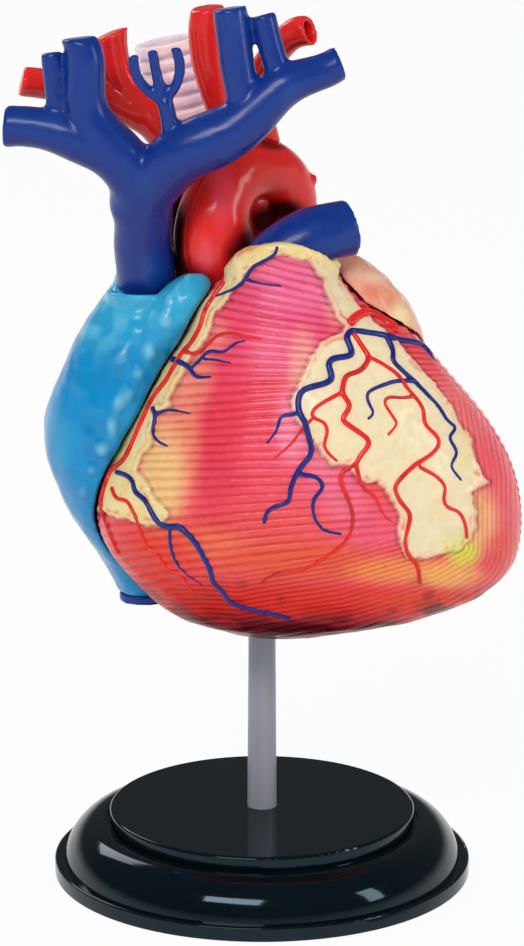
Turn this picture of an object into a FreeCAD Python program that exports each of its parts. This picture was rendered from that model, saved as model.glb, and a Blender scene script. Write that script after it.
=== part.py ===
import FreeCAD, Part
import math
import os
import re

import Sketcher
from FreeCAD import Placement, Rotation, Vector

# Take-apart model of the human heart on a round display stand.
#
# Frame: millimetres, +Z up, origin at the middle of the stand's underside.
# +X is the viewer's right, -Y is towards the viewer.  Every driving size is a
# cell of the sheet "Sizes"; DERIVED names what follows from them, and the
# pieces read both through expressions or value().

doc = FreeCAD.newDocument("heart_model")
sheet = doc.addObject("Spreadsheet::Sheet", "Sizes")

SIZES = {
    # Stand: a moulded shell with a socket boss in the middle
    "flange_radius": 30.4,
    "flange_height": 3.2,
    "flange_ledge": 1.4,
    "rim_width": 2.6,
    "lip_width": 0.6,
    "dome_roundness": 0.8,
    "groove_width": 0.6,
    "groove_depth": 0.4,
    "plate_radius": 22.3,
    "plate_height": 9.45,
    "plate_step": 1.85,
    "stand_wall": 2.0,
    "boss_radius": 4.4,
    "socket_floor": 2.0,
    "rib_count": 6,
    "rib_width": 1.2,
    "rib_foot": 0.8,
    "edge_round": 0.45,
    # Rod
    "rod_showing": 28.35,
    "rod_foot_radius": 2.15,
    "rod_top_radius": 1.95,
    "rod_chamfer": 0.3,
    "rod_play": 0.06,
    "rod_grip": 11.5,
    "rod_sleeve": 1.6,
    # Clearances
    "gap": 0.3,
    "peg_play": 0.06,
    "seat_play": 0.05,
    # Heart walls
    "body_depth_centre": -3.2,
    "seam_depth": -5.0,
    "wall": 3.0,
    "floor_thickness": 4.8,
    "roof_thickness": 5.5,
    "sweep_depth": 60.0,
    "lip_rise": 3.1,
    "lip_arc_radius": 9.4,
    "lip_shift": -0.5,
    "wall_peg_radius": 0.9,
    "wall_peg_length": 3.6,
    "side_peg_inset": 1.6,
    "top_peg_shift": 2.9,
    "top_peg_rise": 2.0,
    "low_peg_shift": 4.3,
    # Septum between the ventricles
    "septum_thickness": 5.4,
    "septum_shift": 4.5,
    "septum_lean_angle": 15.0,
    # Right atrium
    "atrium_depth_centre": 3.0,
    "atrium_wall": 1.7,
    "ceiling_drop": 0.0,
    "atrium_floor_thickness": 6.4,
    "peg_radius": 1.1,
    "peg_grip": 2.4,
    "post_radius": 1.9,
    "atrium_peg_setback": 2.0,
    "upper_post_rise": 4.4,
    "lower_post_rise": 2.0,
    "ear_half_length": 7.7,
    "ear_half_width": 3.9,
    "ear_half_depth": 4.6,
    "ear_lean_angle": 39.0,
    # Lower and upper hollow veins
    "lower_cava_shift": 0.05,
    "lower_cava_radius": 3.6,
    "lower_cava_band": 1.4,
    "lower_plug_radius": 2.6,
    "lower_plug_length": 3.6,
    "cava_radius": 4.15,
    "cava_plug_radius": 2.7,
    "cava_plug_length": 3.6,
    "right_bend_radius": 3.9,
    "right_jugular_root_radius": 3.3,
    "right_jugular_radius": 2.5,
    "right_arm_root_radius": 3.2,
    "right_arm_radius": 2.95,
    "left_start_radius": 3.6,
    "left_fork_radius": 4.1,
    "left_arm_root_radius": 4.15,
    "left_arm_middle_radius": 3.7,
    "left_arm_radius": 2.75,
    "left_arm_end_radius": 2.45,
    "left_jugular_radius": 2.4,
    "right_side_vein_radius": 1.5,
    "left_side_vein_radius": 1.8,
    "thyroid_radius": 1.2,
    "thyroid_branch_radius": 0.8,
    # Aorta
    "aorta_radius": 5.6,
    "arch_radius": 4.75,
    "aorta_wall": 1.0,
    "aorta_plug_shift": 1.6,
    "aorta_plug_radius": 3.2,
    "aorta_plug_rise": 0.6,
    "aorta_foot_rise": 0.2,
    "aorta_foot_radius": 3.5,
    "aorta_swell": 0.55,
    "arch_steps": 4,
    "innominate_turn_angle": 50.0,
    "left_carotid_turn_angle": 88.0,
    "left_subclavian_turn_angle": 125.0,
    "branch_straight": 1.2,
    "branch_plug_radius": 1.5,
    "branch_plug_length": 1.8,
    "innominate_radius": 2.9,
    "carotid_radius": 2.4,
    "right_subclavian_radius": 2.2,
    "left_subclavian_radius": 2.1,
    "artery_wall": 0.6,
    "mouth_depth": 2.6,
    # Pulmonary trunk
    "trunk_seat_shift": -0.6,
    "trunk_tilt_angle": 36.9,
    "trunk_radius": 4.5,
    "trunk_tip_radius": 4.0,
    "trunk_wall": 0.9,
    "trunk_plug_radius": 3.2,
    "trunk_plug_length": 5.2,
    "outflow_radius": 2.3,
    "outflow_length": 21.0,
    "aortic_canal_radius": 1.9,
    # Left atrium, its auricle and the lung vessels
    "left_atrium_setback": 19.2,
    "left_atrium_wall": 1.6,
    "left_atrium_peg_spread": 4.5,
    "left_atrium_peg_rise": 3.6,
    "auricle_half_length": 10.4,
    "auricle_half_width": 4.7,
    "auricle_half_depth": 7.2,
    "auricle_lean_angle": -40.0,
    "auricle_peg_depth": 0.8,
    "auricle_peg_drop": 2.6,
    "auricle_peg_reach": 5.6,
    "lung_vein_radius": 2.1,
    "lung_vein_rise": 3.1,
    "lung_vein_root_spread": 6.6,
    "lung_vein_root_depth": 2.0,
    "lung_vein_spread": 10.6,
    "lung_vein_depth": 10.4,
    "vein_wall": 0.7,
    "lung_artery_radius": 2.4,
    "lung_artery_length": 18.0,
    # Windpipe
    "trachea_radius": 4.7,
    "trachea_wall": 1.2,
    "trachea_lean_angle": -11.5,
    "trachea_length": 23.9,
    "ring_count": 12,
    "ring_pitch": 1.9,
    "ring_groove": 0.42,
    "ring_groove_width": 0.5,
    "bronchus_radius": 2.4,
    "bronchus_spread": 5.2,
    "bronchus_drop": 4.4,
    # Valves
    "cuff_depth": 1.6,
    "cuff_width": 0.9,
    "leaflet_thickness": 0.5,
    "leaflet_slit": 0.35,
    "leaflet_depth": 2.2,
    "inflow_valve_radius": 3.8,
    "leaf_count_mitral": 2,
    "leaf_count": 3,
    "tricuspid_setback": 8.2,
    "tricuspid_drop": 8.9,
    "mitral_shift": 4.3,
    "mitral_drop": 4.5,
    # Papillary muscles and their cords
    "muscle_foot_radius": 1.9,
    "muscle_tip_radius": 0.9,
    "muscle_length": 11.0,
    "muscle_spread": 2.3,
    "muscle_pad_radius": 3.6,
    "muscle_pad_height": 1.2,
    "muscle_setback": 2.4,
    "right_muscle_shift": -18.9,
    "left_muscle_shift": 11.7,
    "cord_radius": 0.32,
    "knot_radius": 0.5,
}

# Cross-sections from the bottom up: rise above the one below, centre x,
# half width and half depth.  The first one of each rises from the named height.
BODY_LEVELS = {
    "foot": (0.0, 2.6, 8.6, 6.6),
    "sole": (2.2, 4.7, 16.7, 11.6),
    "keel": (3.2, 7.2, 23.8, 15.5),
    "hip": (4.3, 7.75, 28.15, 18.0),
    "girth": (5.5, 6.85, 30.2, 19.3),
    "belly": (7.0, 6.8, 29.4, 19.3),
    "flank": (8.0, 6.9, 25.4, 18.0),
    "brow": (7.0, 5.95, 20.65, 15.6),
    "sulcus": (5.0, 5.3, 16.9, 13.0),
    "shoulder": (5.0, 3.0, 12.0, 10.4),
    "conus": (4.2, 2.7, 8.2, 8.0),
    "crown": (3.0, 3.4, 6.2, 7.3),
}
# The lip of the front wall that stands up before the pulmonary trunk
LIP_LEVELS = {
    "lip_root": (-3.0, 2.7, 8.2, 8.0),
    "lip_base": (3.0, 2.9, 8.4, 8.2),
    "lip_top": (3.6, 2.9, 8.4, 8.0),
}
ATRIUM_LEVELS = {
    "outlet": (3.65, -17.2, 3.7, 4.2),
    "neck": (6.95, -18.2, 6.4, 7.4),
    "taper": (6.6, -19.85, 8.75, 10.0),
    "bulge": (7.5, -21.3, 9.7, 11.0),
    "pouch": (7.5, -20.5, 10.0, 11.0),
    "cheek": (7.0, -18.1, 9.3, 10.4),
    "crest": (5.6, -16.1, 8.1, 8.8),
    "brim": (3.0, -16.1, 5.8, 6.9),
    "roof": (3.7, -16.5, 4.5, 4.7),
}
LEFT_LEVELS = {
    "trough": (28.2, 7.8, 7.0, 4.4),
    "basin": (3.8, 7.6, 11.4, 7.2),
    "chamber": (6.2, 7.5, 13.5, 8.5),
    "vault": (6.4, 7.5, 11.2, 7.0),
    "dome": (3.2, 7.5, 7.2, 4.6),
}

# What follows from the sizes
DERIVED = {
    "dome_foot_radius": "flange_radius - flange_ledge",
    "dome_top_radius": "plate_radius + groove_width + lip_width",
    "dome_top_height": "plate_height - plate_step",
    "groove_height": "dome_top_height - groove_depth",
    "dome_chord": "sqrt((dome_foot_radius - dome_top_radius)^2 + (dome_top_height - flange_height)^2)",
    "dome_bulge_radius": "dome_roundness * dome_chord",
    "rod_top": "foot_height + rod_grip",
    "cavity_floor": "foot_height + floor_thickness",
    "cavity_roof": "sulcus_height - roof_thickness",
    "side_peg_left_x": "belly_centre - belly_halfwidth + side_peg_inset",
    "side_peg_right_x": "belly_centre + belly_halfwidth - side_peg_inset",
    "side_peg_left_z": "belly_height",
    "side_peg_right_z": "belly_height",
    "top_peg_x": "sulcus_centre + top_peg_shift",
    "top_peg_z": "sulcus_height + top_peg_rise",
    "low_peg_x": "sole_centre + low_peg_shift",
    "low_peg_z": "sole_height",
    "septum_middle_x": "belly_centre + septum_shift",
    "septum_middle_z": "(cavity_floor + cavity_roof) / 2",
    "atrium_ceiling": "crest_height - ceiling_drop",
    "atrium_floor": "outlet_height + atrium_floor_thickness",
    "upper_post_height": "pouch_height + upper_post_rise",
    "lower_post_height": "taper_height + lower_post_rise",
    "lower_cava_x": "outlet_centre + lower_cava_shift",
    "trunk_seat_x": "crown_centre + trunk_seat_shift",
    "trunk_seat_y": "seam_depth",
    "trunk_seat_z": "crown_height",
    "aorta_plug_x": "arch_spring_x + aorta_plug_shift",
    "aorta_plug_floor": "sulcus_height + aorta_plug_rise",
    "aorta_foot_height": "shoulder_height + aorta_foot_rise",
    "left_atrium_y": "body_depth_centre + left_atrium_setback",
    "left_atrium_peg_height": "chamber_height + left_atrium_peg_rise",
    "tricuspid_y": "body_depth_centre + tricuspid_setback",
    "tricuspid_z": "cavity_roof - tricuspid_drop",
    "mitral_x": "septum_middle_x + mitral_shift",
    "mitral_z": "cavity_roof - mitral_drop",
    "right_muscle_x": "septum_middle_x + right_muscle_shift",
    "left_muscle_x": "septum_middle_x + left_muscle_shift",
    "muscle_y": "body_depth_centre + muscle_setback",
    # Anchors that the places below are measured from
    "crown_point_x": "crown_centre",
    "crown_point_y": "body_depth_centre",
    "crown_point_z": "crown_height",
    "atrium_point_x": "crest_centre",
    "atrium_point_y": "atrium_depth_centre",
    "atrium_point_z": "crest_height",
    "dome_point_x": "dome_centre",
    "dome_point_y": "left_atrium_y",
    "dome_point_z": "dome_height",
}

# Places that a piece sits at or a vessel passes through: the place that it is
# measured from, and its distance from there along x, y and z
PLACES = {
    "ear": ("atrium_point", 3.6, -6.4, 0.7),
    "cava_seat": ("atrium_point", -0.6, -1.5, 4.6),
    "cava_fork": ("cava_seat", 0.0, -6.2, 13.8),
    "right_bend": ("cava_fork", -2.5, -1.6, 5.1),
    "right_jugular_root": ("right_bend", -3.8, -0.4, 4.8),
    "right_jugular_middle": ("right_jugular_root", -1.4, 0.0, 5.3),
    "right_jugular_tip": ("right_jugular_middle", -0.9, 0.4, 7.1),
    "right_arm_root": ("cava_fork", -5.0, -1.8, 6.2),
    "right_arm_bend": ("right_arm_root", -4.4, -0.2, 2.3),
    "right_arm_middle": ("right_arm_bend", -3.7, 0.2, 1.1),
    "right_arm_tip": ("right_arm_middle", -5.8, 0.6, 0.3),
    "right_side_vein_root": ("right_arm_middle", 1.7, 0.0, 0.6),
    "right_side_vein_tip": ("right_side_vein_root", -1.0, 0.8, 10.0),
    "left_bend": ("cava_fork", 3.4, -2.3, 4.1),
    "left_arm_root": ("left_bend", 3.1, -1.5, 2.85),
    "left_arm_bend": ("left_arm_root", 3.1, -0.4, 1.5),
    "left_arm_middle": ("left_arm_bend", 3.9, -0.2, 2.1),
    "left_arm_elbow": ("left_arm_middle", 3.9, 0.0, 3.5),
    "left_arm_end": ("left_arm_elbow", 4.7, 0.6, 3.0),
    "left_arm_tip": ("left_arm_end", 5.3, 1.0, 2.0),
    "left_jugular_root": ("left_arm_middle", 1.1, 0.0, 1.6),
    "left_jugular_bend": ("left_jugular_root", -0.8, 0.2, 4.1),
    "left_jugular_tip": ("left_jugular_bend", -1.5, 0.6, 10.5),
    "left_side_vein_root": ("left_arm_elbow", 2.1, 0.2, 2.2),
    "left_side_vein_bend": ("left_side_vein_root", -1.2, 0.4, 3.7),
    "left_side_vein_tip": ("left_side_vein_bend", -1.5, 0.6, 5.75),
    "thyroid_root": ("left_arm_root", -2.4, 0.0, 1.6),
    "thyroid_neck": ("thyroid_root", -0.4, -0.6, 4.0),
    "thyroid_fork": ("thyroid_neck", -0.4, 0.0, 1.6),
    "thyroid_left_bend": ("thyroid_fork", -3.1, 0.0, 2.1),
    "thyroid_left_tip": ("thyroid_left_bend", -1.1, 0.0, 4.1),
    "thyroid_middle_bend": ("thyroid_fork", -1.0, 0.0, 3.4),
    "thyroid_middle_tip": ("thyroid_middle_bend", -0.6, 0.0, 3.5),
    "thyroid_right_bend": ("thyroid_fork", 1.9, 0.0, 2.8),
    "thyroid_right_tip": ("thyroid_right_bend", -0.4, 0.0, 4.5),
    "arch_spring": ("crown_point", -10.2, 5.0, 3.0),
    "arch_end": ("arch_spring", 10.1, 10.5, 0.0),
    "descending_end": ("arch_end", 0.0, 0.0, -3.4),
    "innominate_fork": ("arch_spring", -4.9, 2.1, 11.4),
    "right_carotid_bend": ("innominate_fork", -5.4, 0.7, 5.0),
    "right_carotid_tip": ("right_carotid_bend", -4.0, 0.0, 10.8),
    "right_subclavian_bend": ("innominate_fork", -10.4, 0.3, 6.4),
    "right_subclavian_tip": ("right_subclavian_bend", -11.7, -1.6, 2.8),
    "left_carotid_bend": ("arch_spring", 1.1, 3.4, 16.8),
    "left_carotid_tip": ("left_carotid_bend", -1.9, -0.6, 14.0),
    "left_subclavian_bend": ("arch_spring", 6.3, 5.8, 18.6),
    "left_subclavian_elbow": ("left_subclavian_bend", 2.5, -4.0, 6.1),
    "left_subclavian_shoulder": ("left_subclavian_elbow", 1.8, -1.2, 2.2),
    "left_subclavian_tip": ("left_subclavian_shoulder", 3.0, -1.5, 1.1),
    "trunk_bend": ("trunk_seat", 2.9, 0.3, 2.0),
    "trunk_elbow": ("trunk_bend", 3.4, 0.8, 1.25),
    "trunk_tip": ("trunk_elbow", 3.3, 1.2, 0.6),
    "auricle": ("crown_point", 12.5, 5.8, -9.2),
    "lung_artery": ("dome_point", -5.5, -4.4, 3.4),
    "trachea": ("dome_point", -16.5, 0.9, 10.4),
    "trachea_peg": ("dome_point", -8.5, 1.6, -3.6),
}

for ground, levels in (
    ("plate_height + rod_showing", BODY_LEVELS),
    ("crown_height", LIP_LEVELS),
    ("foot_height", ATRIUM_LEVELS),
    ("foot_height", LEFT_LEVELS),
):
    below = ground
    for level, numbers in levels.items():
        for field, number in zip(("rise", "centre", "halfwidth", "halfdepth"), numbers):
            SIZES[f"{level}_{field}"] = number
        DERIVED[f"{level}_height"] = f"{below} + {level}_rise"
        below = f"{level}_height"
for spot, (anchor, *distances) in PLACES.items():
    for axis, number in zip("xyz", distances):
        SIZES[f"{spot}_from_{axis}"] = number
        DERIVED[f"{spot}_{axis}"] = f"{anchor}_{axis} + {spot}_from_{axis}"

for row, (alias, number) in enumerate(SIZES.items(), start=1):
    sheet.set(f"A{row}", alias)
    sheet.set(f"B{row}", str(number))
    sheet.setAlias(f"B{row}", alias)
doc.recompute()

BIG = 120.0  # reach of the blocks that halve a piece, beyond the whole model
START, END = 1, 2  # the ends of a sketch's side
LEVEL, UPRIGHT = -1, -2  # a sketch's own axes
CUBIC = 3  # the degree that keeps a lofted vessel free of waves
sub_parts = {}


# ---------------------------------------------------------------- helpers
def cell(word):
    """A name in an expression: a size is a cell, a derived one its own expression."""
    name = word.group()
    if name in DERIVED:
        return "(" + formula(DERIVED[name]) + ")"
    return "Sizes." + name if name in SIZES else name


def formula(text):
    """An expression on the sheet, with every name written out."""
    return re.sub(r"[a-z]\w*", cell, text)


def value(text):
    """The number that an expression on the sheet gives now."""
    result = sheet.evalExpression(formula(text))
    return float(getattr(result, "Value", result))


def place(name):
    return Vector(value(name + "_x"), value(name + "_y"), value(name + "_z"))


def bind(item, **expressions):
    """Ties properties to the sheet; x, y and z stand for the placement's base."""
    for name, text in expressions.items():
        path = "Placement.Base." + name if name in ("x", "y", "z") else name
        item.setExpression(path, formula(text))
    return item


def primitive(kind, name, turn=None, **expressions):
    item = doc.addObject("Part::" + kind, name)
    item.Placement = Placement(Vector(), turn or Rotation())
    return bind(item, **expressions)


def ellipsoid(name, along, across, deep, x, y, z, lean):
    """An egg whose long axis leans from +Z towards +X by the given expression."""
    turn = Rotation(Vector(0, 1, 0), value(lean))
    item = primitive("Ellipsoid", name, turn, Radius1=along, Radius2=across, x=x, y=y, z=z)
    item.Angle1 = -90
    item.Angle2 = 90
    return bind(item, Radius3=deep)


def shape_of(item):
    doc.recompute([item])
    return item.Shape


def fixed(name, shape):
    """An object that holds a shape made by Part's own functions."""
    item = doc.addObject("Part::Feature", name)
    item.Shape = shape
    return item


def sub_part(node, item):
    """Names a finished piece; its label is its file's name."""
    item.Label = node
    sub_parts[node] = item
    return item


def level_loft(name, levels, depth_centre, grow="0", heights=None, reach=None):
    """A solid through the named elliptical levels, each grown by one amount."""
    rings = []
    for level in levels:
        wide = f"{level}_halfwidth + {grow}"
        deep = reach or f"{level}_halfdepth + {grow}"
        lengthwise = value(wide) >= value(deep)
        turn = Rotation() if lengthwise else Rotation(Vector(0, 0, 1), 90)
        ring = primitive(
            "Ellipse", f"{name}_{level}", turn,
            MajorRadius=wide if lengthwise else deep,
            MinorRadius=deep if lengthwise else wide,
            x=f"{level}_centre", y=depth_centre,
            z=(heights or {}).get(level, f"{level}_height"),
        )
        rings.append(ring)
    solid = doc.addObject("Part::Loft", name)
    solid.Sections = rings
    solid.Solid = True
    solid.Ruled = False
    return solid


def tube_shape(stations):
    """A round solid through (point, radius) stations, swept without a twist."""
    points = [point for point, _ in stations]
    rings = []
    for i, (point, radius) in enumerate(stations):
        before = points[max(i - 1, 0)]
        after = points[min(i + 1, len(points) - 1)]
        forward = (after - before).normalize()
        turn = Rotation(Vector(), Vector(0, 1, 0), forward, "ZYX")
        ring = Part.Wire(Part.makeCircle(radius))
        ring.Placement = Placement(point, turn)
        rings.append(ring)
    return Part.makeLoft(rings, True, False, False, CUBIC)


def mouth_shape(stations, rim):
    """The blind recess in the cut end of a vessel, rim thick all round."""
    before = stations[-2][0]
    tip, radius = stations[-1]
    inward = (before - tip).normalize()
    start = tip - inward * value("gap")
    return Part.makeCylinder(radius - rim, value("mouth_depth + gap"), start, inward)


def tree_shape(branches):
    """Vessels fused into one tree."""
    limbs = [tube_shape(branch) for branch in branches]
    return limbs[0].multiFuse(limbs[1:]) if limbs[1:] else limbs[0]


def way_of(*stops):
    """Stations from pairs of a place's name and the name of the radius there."""
    return [(place(spot), value(radius)) for spot, radius in stops]


def corner_sketch(body, role, name, corners, arcs):
    """A closed outline; each corner is two expressions, arcs maps a side to its radius."""
    sketch = body.newObject("Sketcher::SketchObject", name)
    plane = [f for f in body.Origin.OriginFeatures if f.Role == role][0]
    sketch.AttachmentSupport = (plane, "")
    sketch.MapMode = "FlatFace"
    points = [Vector(value(a), value(b), 0) for a, b in corners]
    starts = []
    for i, start in enumerate(points):
        end = points[(i + 1) % len(points)]
        side = Part.LineSegment(start, end)
        if i in arcs:
            chord = end - start
            radius = value(arcs[i])
            sag = radius - math.sqrt(radius**2 - (chord.Length / 2) ** 2)
            outward = Vector(chord.y, -chord.x, 0).normalize()
            side = Part.Arc(start, (start + end) * 0.5 + outward * sag, end)
        sketch.addGeometry(side, False)
        first = sketch.Geometry[-1].StartPoint
        kept_way = first.distanceToPoint(start) < first.distanceToPoint(end)
        starts.append(START if kept_way else END)
    for i, corner in enumerate(corners):
        following = (i + 1) % len(corners)
        finish = END if starts[i] == START else START
        sketch.addConstraint(
            Sketcher.Constraint("Coincident", i, finish, following, starts[following])
        )
        for kind, axis, text in zip(("DistanceX", "DistanceY"), (UPRIGHT, LEVEL), corner):
            if text == "0":
                sketch.addConstraint(Sketcher.Constraint("PointOnObject", i, starts[i], axis))
                continue
            rule = Sketcher.Constraint(kind, LEVEL, START, i, starts[i], value(text))
            sketch.setExpression(f"Constraints[{sketch.addConstraint(rule)}]", formula(text))
        if i in arcs:
            rule = Sketcher.Constraint("Radius", i, value(arcs[i]))
            sketch.setExpression(f"Constraints[{sketch.addConstraint(rule)}]", formula(arcs[i]))
    return sketch


def turned_body(name, corners, arcs=None):
    """A body of revolution about Z from a half section in the XZ plane."""
    body = doc.addObject("PartDesign::Body", name)
    sketch = corner_sketch(body, "XZ_Plane", name + "_profile", corners, arcs or {})
    turned = body.newObject("PartDesign::Revolution", name + "_turned")
    turned.Profile = sketch
    turned.ReferenceAxis = (sketch, ["V_Axis"])
    turned.Angle = 360
    return body


def patterned(body, seed, count):
    """Repeats a feature evenly about the body's Z axis."""
    axis = [f for f in body.Origin.OriginFeatures if f.Role == "Z_Axis"][0]
    pattern = body.newObject("PartDesign::PolarPattern", body.Name + "_pattern")
    pattern.Originals = [seed]
    pattern.Axis = (axis, [""])
    pattern.Angle = 360
    pattern.Occurrences = int(value(count)) if isinstance(count, str) else count
    body.Tip = pattern
    return pattern


def tilted(lean_x, lean_y):
    """The unit direction that leans from +Z by two angles, towards +X or +Y."""
    aside = math.radians(lean_x)
    back = math.radians(lean_y)
    upward = math.cos(aside) * math.cos(back)
    return Vector(math.sin(aside), math.sin(back), upward).normalize()


def rod_shape(start, direction, radius, length):
    return Part.makeCylinder(radius, length, start, direction)


def block_shape(low, high):
    """A box between two opposite corners."""
    size = high - low
    return Part.makeBox(size.x, size.y, size.z, low)


def copy_of(item):
    return shape_of(item).copy()


# ---------------------------------------------------------------- stand
base = turned_body(
    "base_body",
    [
        ("0", "0"),
        ("boss_radius", "0"),
        ("boss_radius", "plate_height - stand_wall"),
        ("dome_top_radius - stand_wall", "plate_height - stand_wall"),
        ("flange_radius - rim_width", "flange_height - stand_wall / 2"),
        ("flange_radius - rim_width", "0"),
        ("flange_radius", "0"),
        ("flange_radius", "flange_height"),
        ("dome_foot_radius", "flange_height"),
        ("dome_top_radius", "dome_top_height"),
        ("plate_radius + groove_width", "dome_top_height"),
        ("plate_radius + groove_width", "groove_height"),
        ("plate_radius", "groove_height"),
        ("plate_radius", "plate_height"),
        ("rod_foot_radius + rod_play", "plate_height"),
        ("rod_foot_radius + rod_play", "socket_floor"),
        ("0", "socket_floor"),
    ],
    {8: "dome_bulge_radius"},
)
rib_sketch = corner_sketch(
    base,
    "XZ_Plane",
    "rib_profile",
    [
        ("boss_radius - rib_width / 2", "rib_foot"),
        ("dome_top_radius - stand_wall", "rib_foot"),
        ("dome_top_radius - stand_wall", "plate_height - stand_wall / 2"),
        ("boss_radius - rib_width / 2", "plate_height - stand_wall / 2"),
    ],
    {},
)
rib = base.newObject("PartDesign::Pad", "rib")
rib.Profile = rib_sketch
rib.Midplane = True
bind(rib, Length="rib_width")
ribs = patterned(base, rib, "rib_count")
doc.recompute()
rims = [
    f"Edge{i + 1}"
    for i, edge in enumerate(ribs.Shape.Edges)
    if isinstance(edge.Curve, Part.Circle)
    and (
        (abs(edge.Curve.Radius - value("flange_radius")) < 0.01 and edge.Curve.Center.z > 1)
        or (
            abs(edge.Curve.Radius - value("plate_radius")) < 0.01
            and edge.Curve.Center.z > value("groove_height") + 1
        )
    )
]
rounds = base.newObject("PartDesign::Fillet", "rim_rounds")
rounds.Base = (ribs, rims)
bind(rounds, Radius="edge_round")
base.Tip = rounds
sub_part("stand_base", base)

rod = turned_body(
    "rod_body",
    [
        ("0", "socket_floor"),
        ("rod_foot_radius - rod_chamfer", "socket_floor"),
        ("rod_foot_radius", "socket_floor + rod_chamfer"),
        ("rod_foot_radius", "plate_height + rod_chamfer"),
        ("rod_top_radius", "foot_height - gap"),
        ("rod_top_radius", "rod_top - rod_chamfer"),
        ("rod_top_radius - rod_chamfer", "rod_top"),
        ("0", "rod_top"),
    ],
)
sub_part("support_rod", rod)

# ---------------------------------------------------------------- heart forms
heart_form = level_loft("heart_form", BODY_LEVELS, "body_depth_centre")
heart_room = level_loft("heart_room", BODY_LEVELS, "body_depth_centre", "gap")
front_sweep = level_loft("front_sweep", BODY_LEVELS, "body_depth_centre", "gap", reach="sweep_depth")
lip_form = level_loft("lip_form", LIP_LEVELS, "body_depth_centre")
CAVITY_LEVELS = ["sulcus", "brow", "flank", "belly", "girth", "hip", "keel"]
CAVITY_ENDS = {"sulcus": "cavity_roof", "keel": "cavity_floor", "brow": "(cavity_roof + flank_height) / 2"}
cavity_form = level_loft("cavity_form", CAVITY_LEVELS, "body_depth_centre", "-wall", CAVITY_ENDS)
septum_room = level_loft(
    "septum_room", CAVITY_LEVELS, "body_depth_centre", "-wall - gap", CAVITY_ENDS
)
doc.recompute()

seam = value("seam_depth")
front_block = block_shape(Vector(-BIG, -BIG, -BIG), Vector(BIG, seam, BIG + BIG))
rear_block = block_shape(Vector(-BIG, seam, -BIG), Vector(BIG, BIG, BIG + BIG))
heart_space = copy_of(heart_room).fuse(copy_of(front_sweep).common(front_block))

trunk_axis = tilted(value("trunk_tilt_angle"), 0)
trunk_seat = place("trunk_seat")
cava_seat = place("cava_seat")
cava_axis = (place("cava_fork") - cava_seat).normalize()
play = value("peg_play")

# ---------------------------------------------------------------- aorta
spring = place("arch_spring")
arch_end = place("arch_end")
aorta_foot = Vector(value("aorta_plug_x"), spring.y, value("aorta_foot_height"))
arch_way = (arch_end - spring).normalize()
arch_turn = (arch_end - spring).Length / 2


def arch_point(angle):
    """A point of the arch's centre line, angle degrees round from its spring."""
    turn = math.radians(angle)
    return spring + arch_way * (arch_turn * (1 - math.cos(turn))) + Vector(
        0, 0, arch_turn * math.sin(turn)
    )


def aorta_stations(inset):
    """The aorta's centre line and radius, the radius reduced by inset."""
    narrow = value("aorta_foot_radius") - inset
    full = value("aorta_radius") - inset
    arch = value("arch_radius") - inset
    swell = value("aorta_swell")
    steps = int(value("arch_steps"))
    stations = [
        (aorta_foot, narrow),
        (aorta_foot + (spring - aorta_foot) * 0.4, narrow + (full - narrow) * swell),
        (spring, full),
    ]
    stations += [(arch_point(180 * i / steps), arch) for i in range(1, steps + 1)]
    return stations + [(place("descending_end"), arch)]


aorta_outer = tube_shape(aorta_stations(0))
aorta_inner = tube_shape(aorta_stations(value("aorta_wall")))
plug_floor = Vector(aorta_foot.x, aorta_foot.y, value("aorta_plug_floor"))
plug_up = aorta_foot.z + value("gap") - plug_floor.z
aorta_plug = rod_shape(plug_floor, Vector(0, 0, 1), value("aorta_plug_radius"), plug_up)
plug_bore = rod_shape(
    plug_floor, Vector(0, 0, 1), value("aorta_plug_radius - aorta_wall"), plug_up
)
aorta_solid = aorta_outer.fuse(aorta_plug).cut(aorta_inner).cut(plug_bore)
aorta_space = tube_shape(aorta_stations(-value("gap")))

BRANCHES = {
    "brachiocephalic_artery": (
        "innominate_turn_angle",
        "innominate_radius",
        [
            way_of(
                ("innominate_fork", "innominate_radius"),
                ("right_carotid_bend", "carotid_radius"),
                ("right_carotid_tip", "carotid_radius"),
            ),
            way_of(
                ("innominate_fork", "right_subclavian_radius"),
                ("right_subclavian_bend", "right_subclavian_radius"),
                ("right_subclavian_tip", "right_subclavian_radius"),
            ),
        ],
    ),
    "left_common_carotid_artery": (
        "left_carotid_turn_angle",
        "carotid_radius",
        [
            way_of(
                ("left_carotid_bend", "carotid_radius"),
                ("left_carotid_tip", "carotid_radius"),
            )
        ],
    ),
    "left_subclavian_artery": (
        "left_subclavian_turn_angle",
        "left_subclavian_radius",
        [
            way_of(
                ("left_subclavian_bend", "left_subclavian_radius"),
                ("left_subclavian_elbow", "left_subclavian_radius"),
                ("left_subclavian_shoulder", "left_subclavian_radius"),
                ("left_subclavian_tip", "left_subclavian_radius"),
            )
        ],
    ),
}
for node, (turn, thickness, ways) in BRANCHES.items():
    root = arch_point(value(turn))
    outward = (ways[0][0][0] - root).normalize()
    straight = [root, root + outward * value("arch_radius * branch_straight")]
    routes = [[(point, value(thickness)) for point in straight] + ways[0]] + ways[1:]
    start = root + outward * value("arch_radius - branch_plug_length")
    peg_length = 2 * value("branch_plug_length")
    peg = rod_shape(start, outward, value("branch_plug_radius"), peg_length)
    hole = rod_shape(start, outward, value("branch_plug_radius") + play, peg_length)
    tree = tree_shape(routes)
    if node == "left_subclavian_artery":
        tree = tree.cut(mouth_shape(routes[0], value("artery_wall")))
    artery = tree.cut(aorta_outer).fuse(peg).removeSplitter()
    sub_part(node, fixed(node + "_form", artery))
    aorta_solid = aorta_solid.cut(hole)

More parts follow.
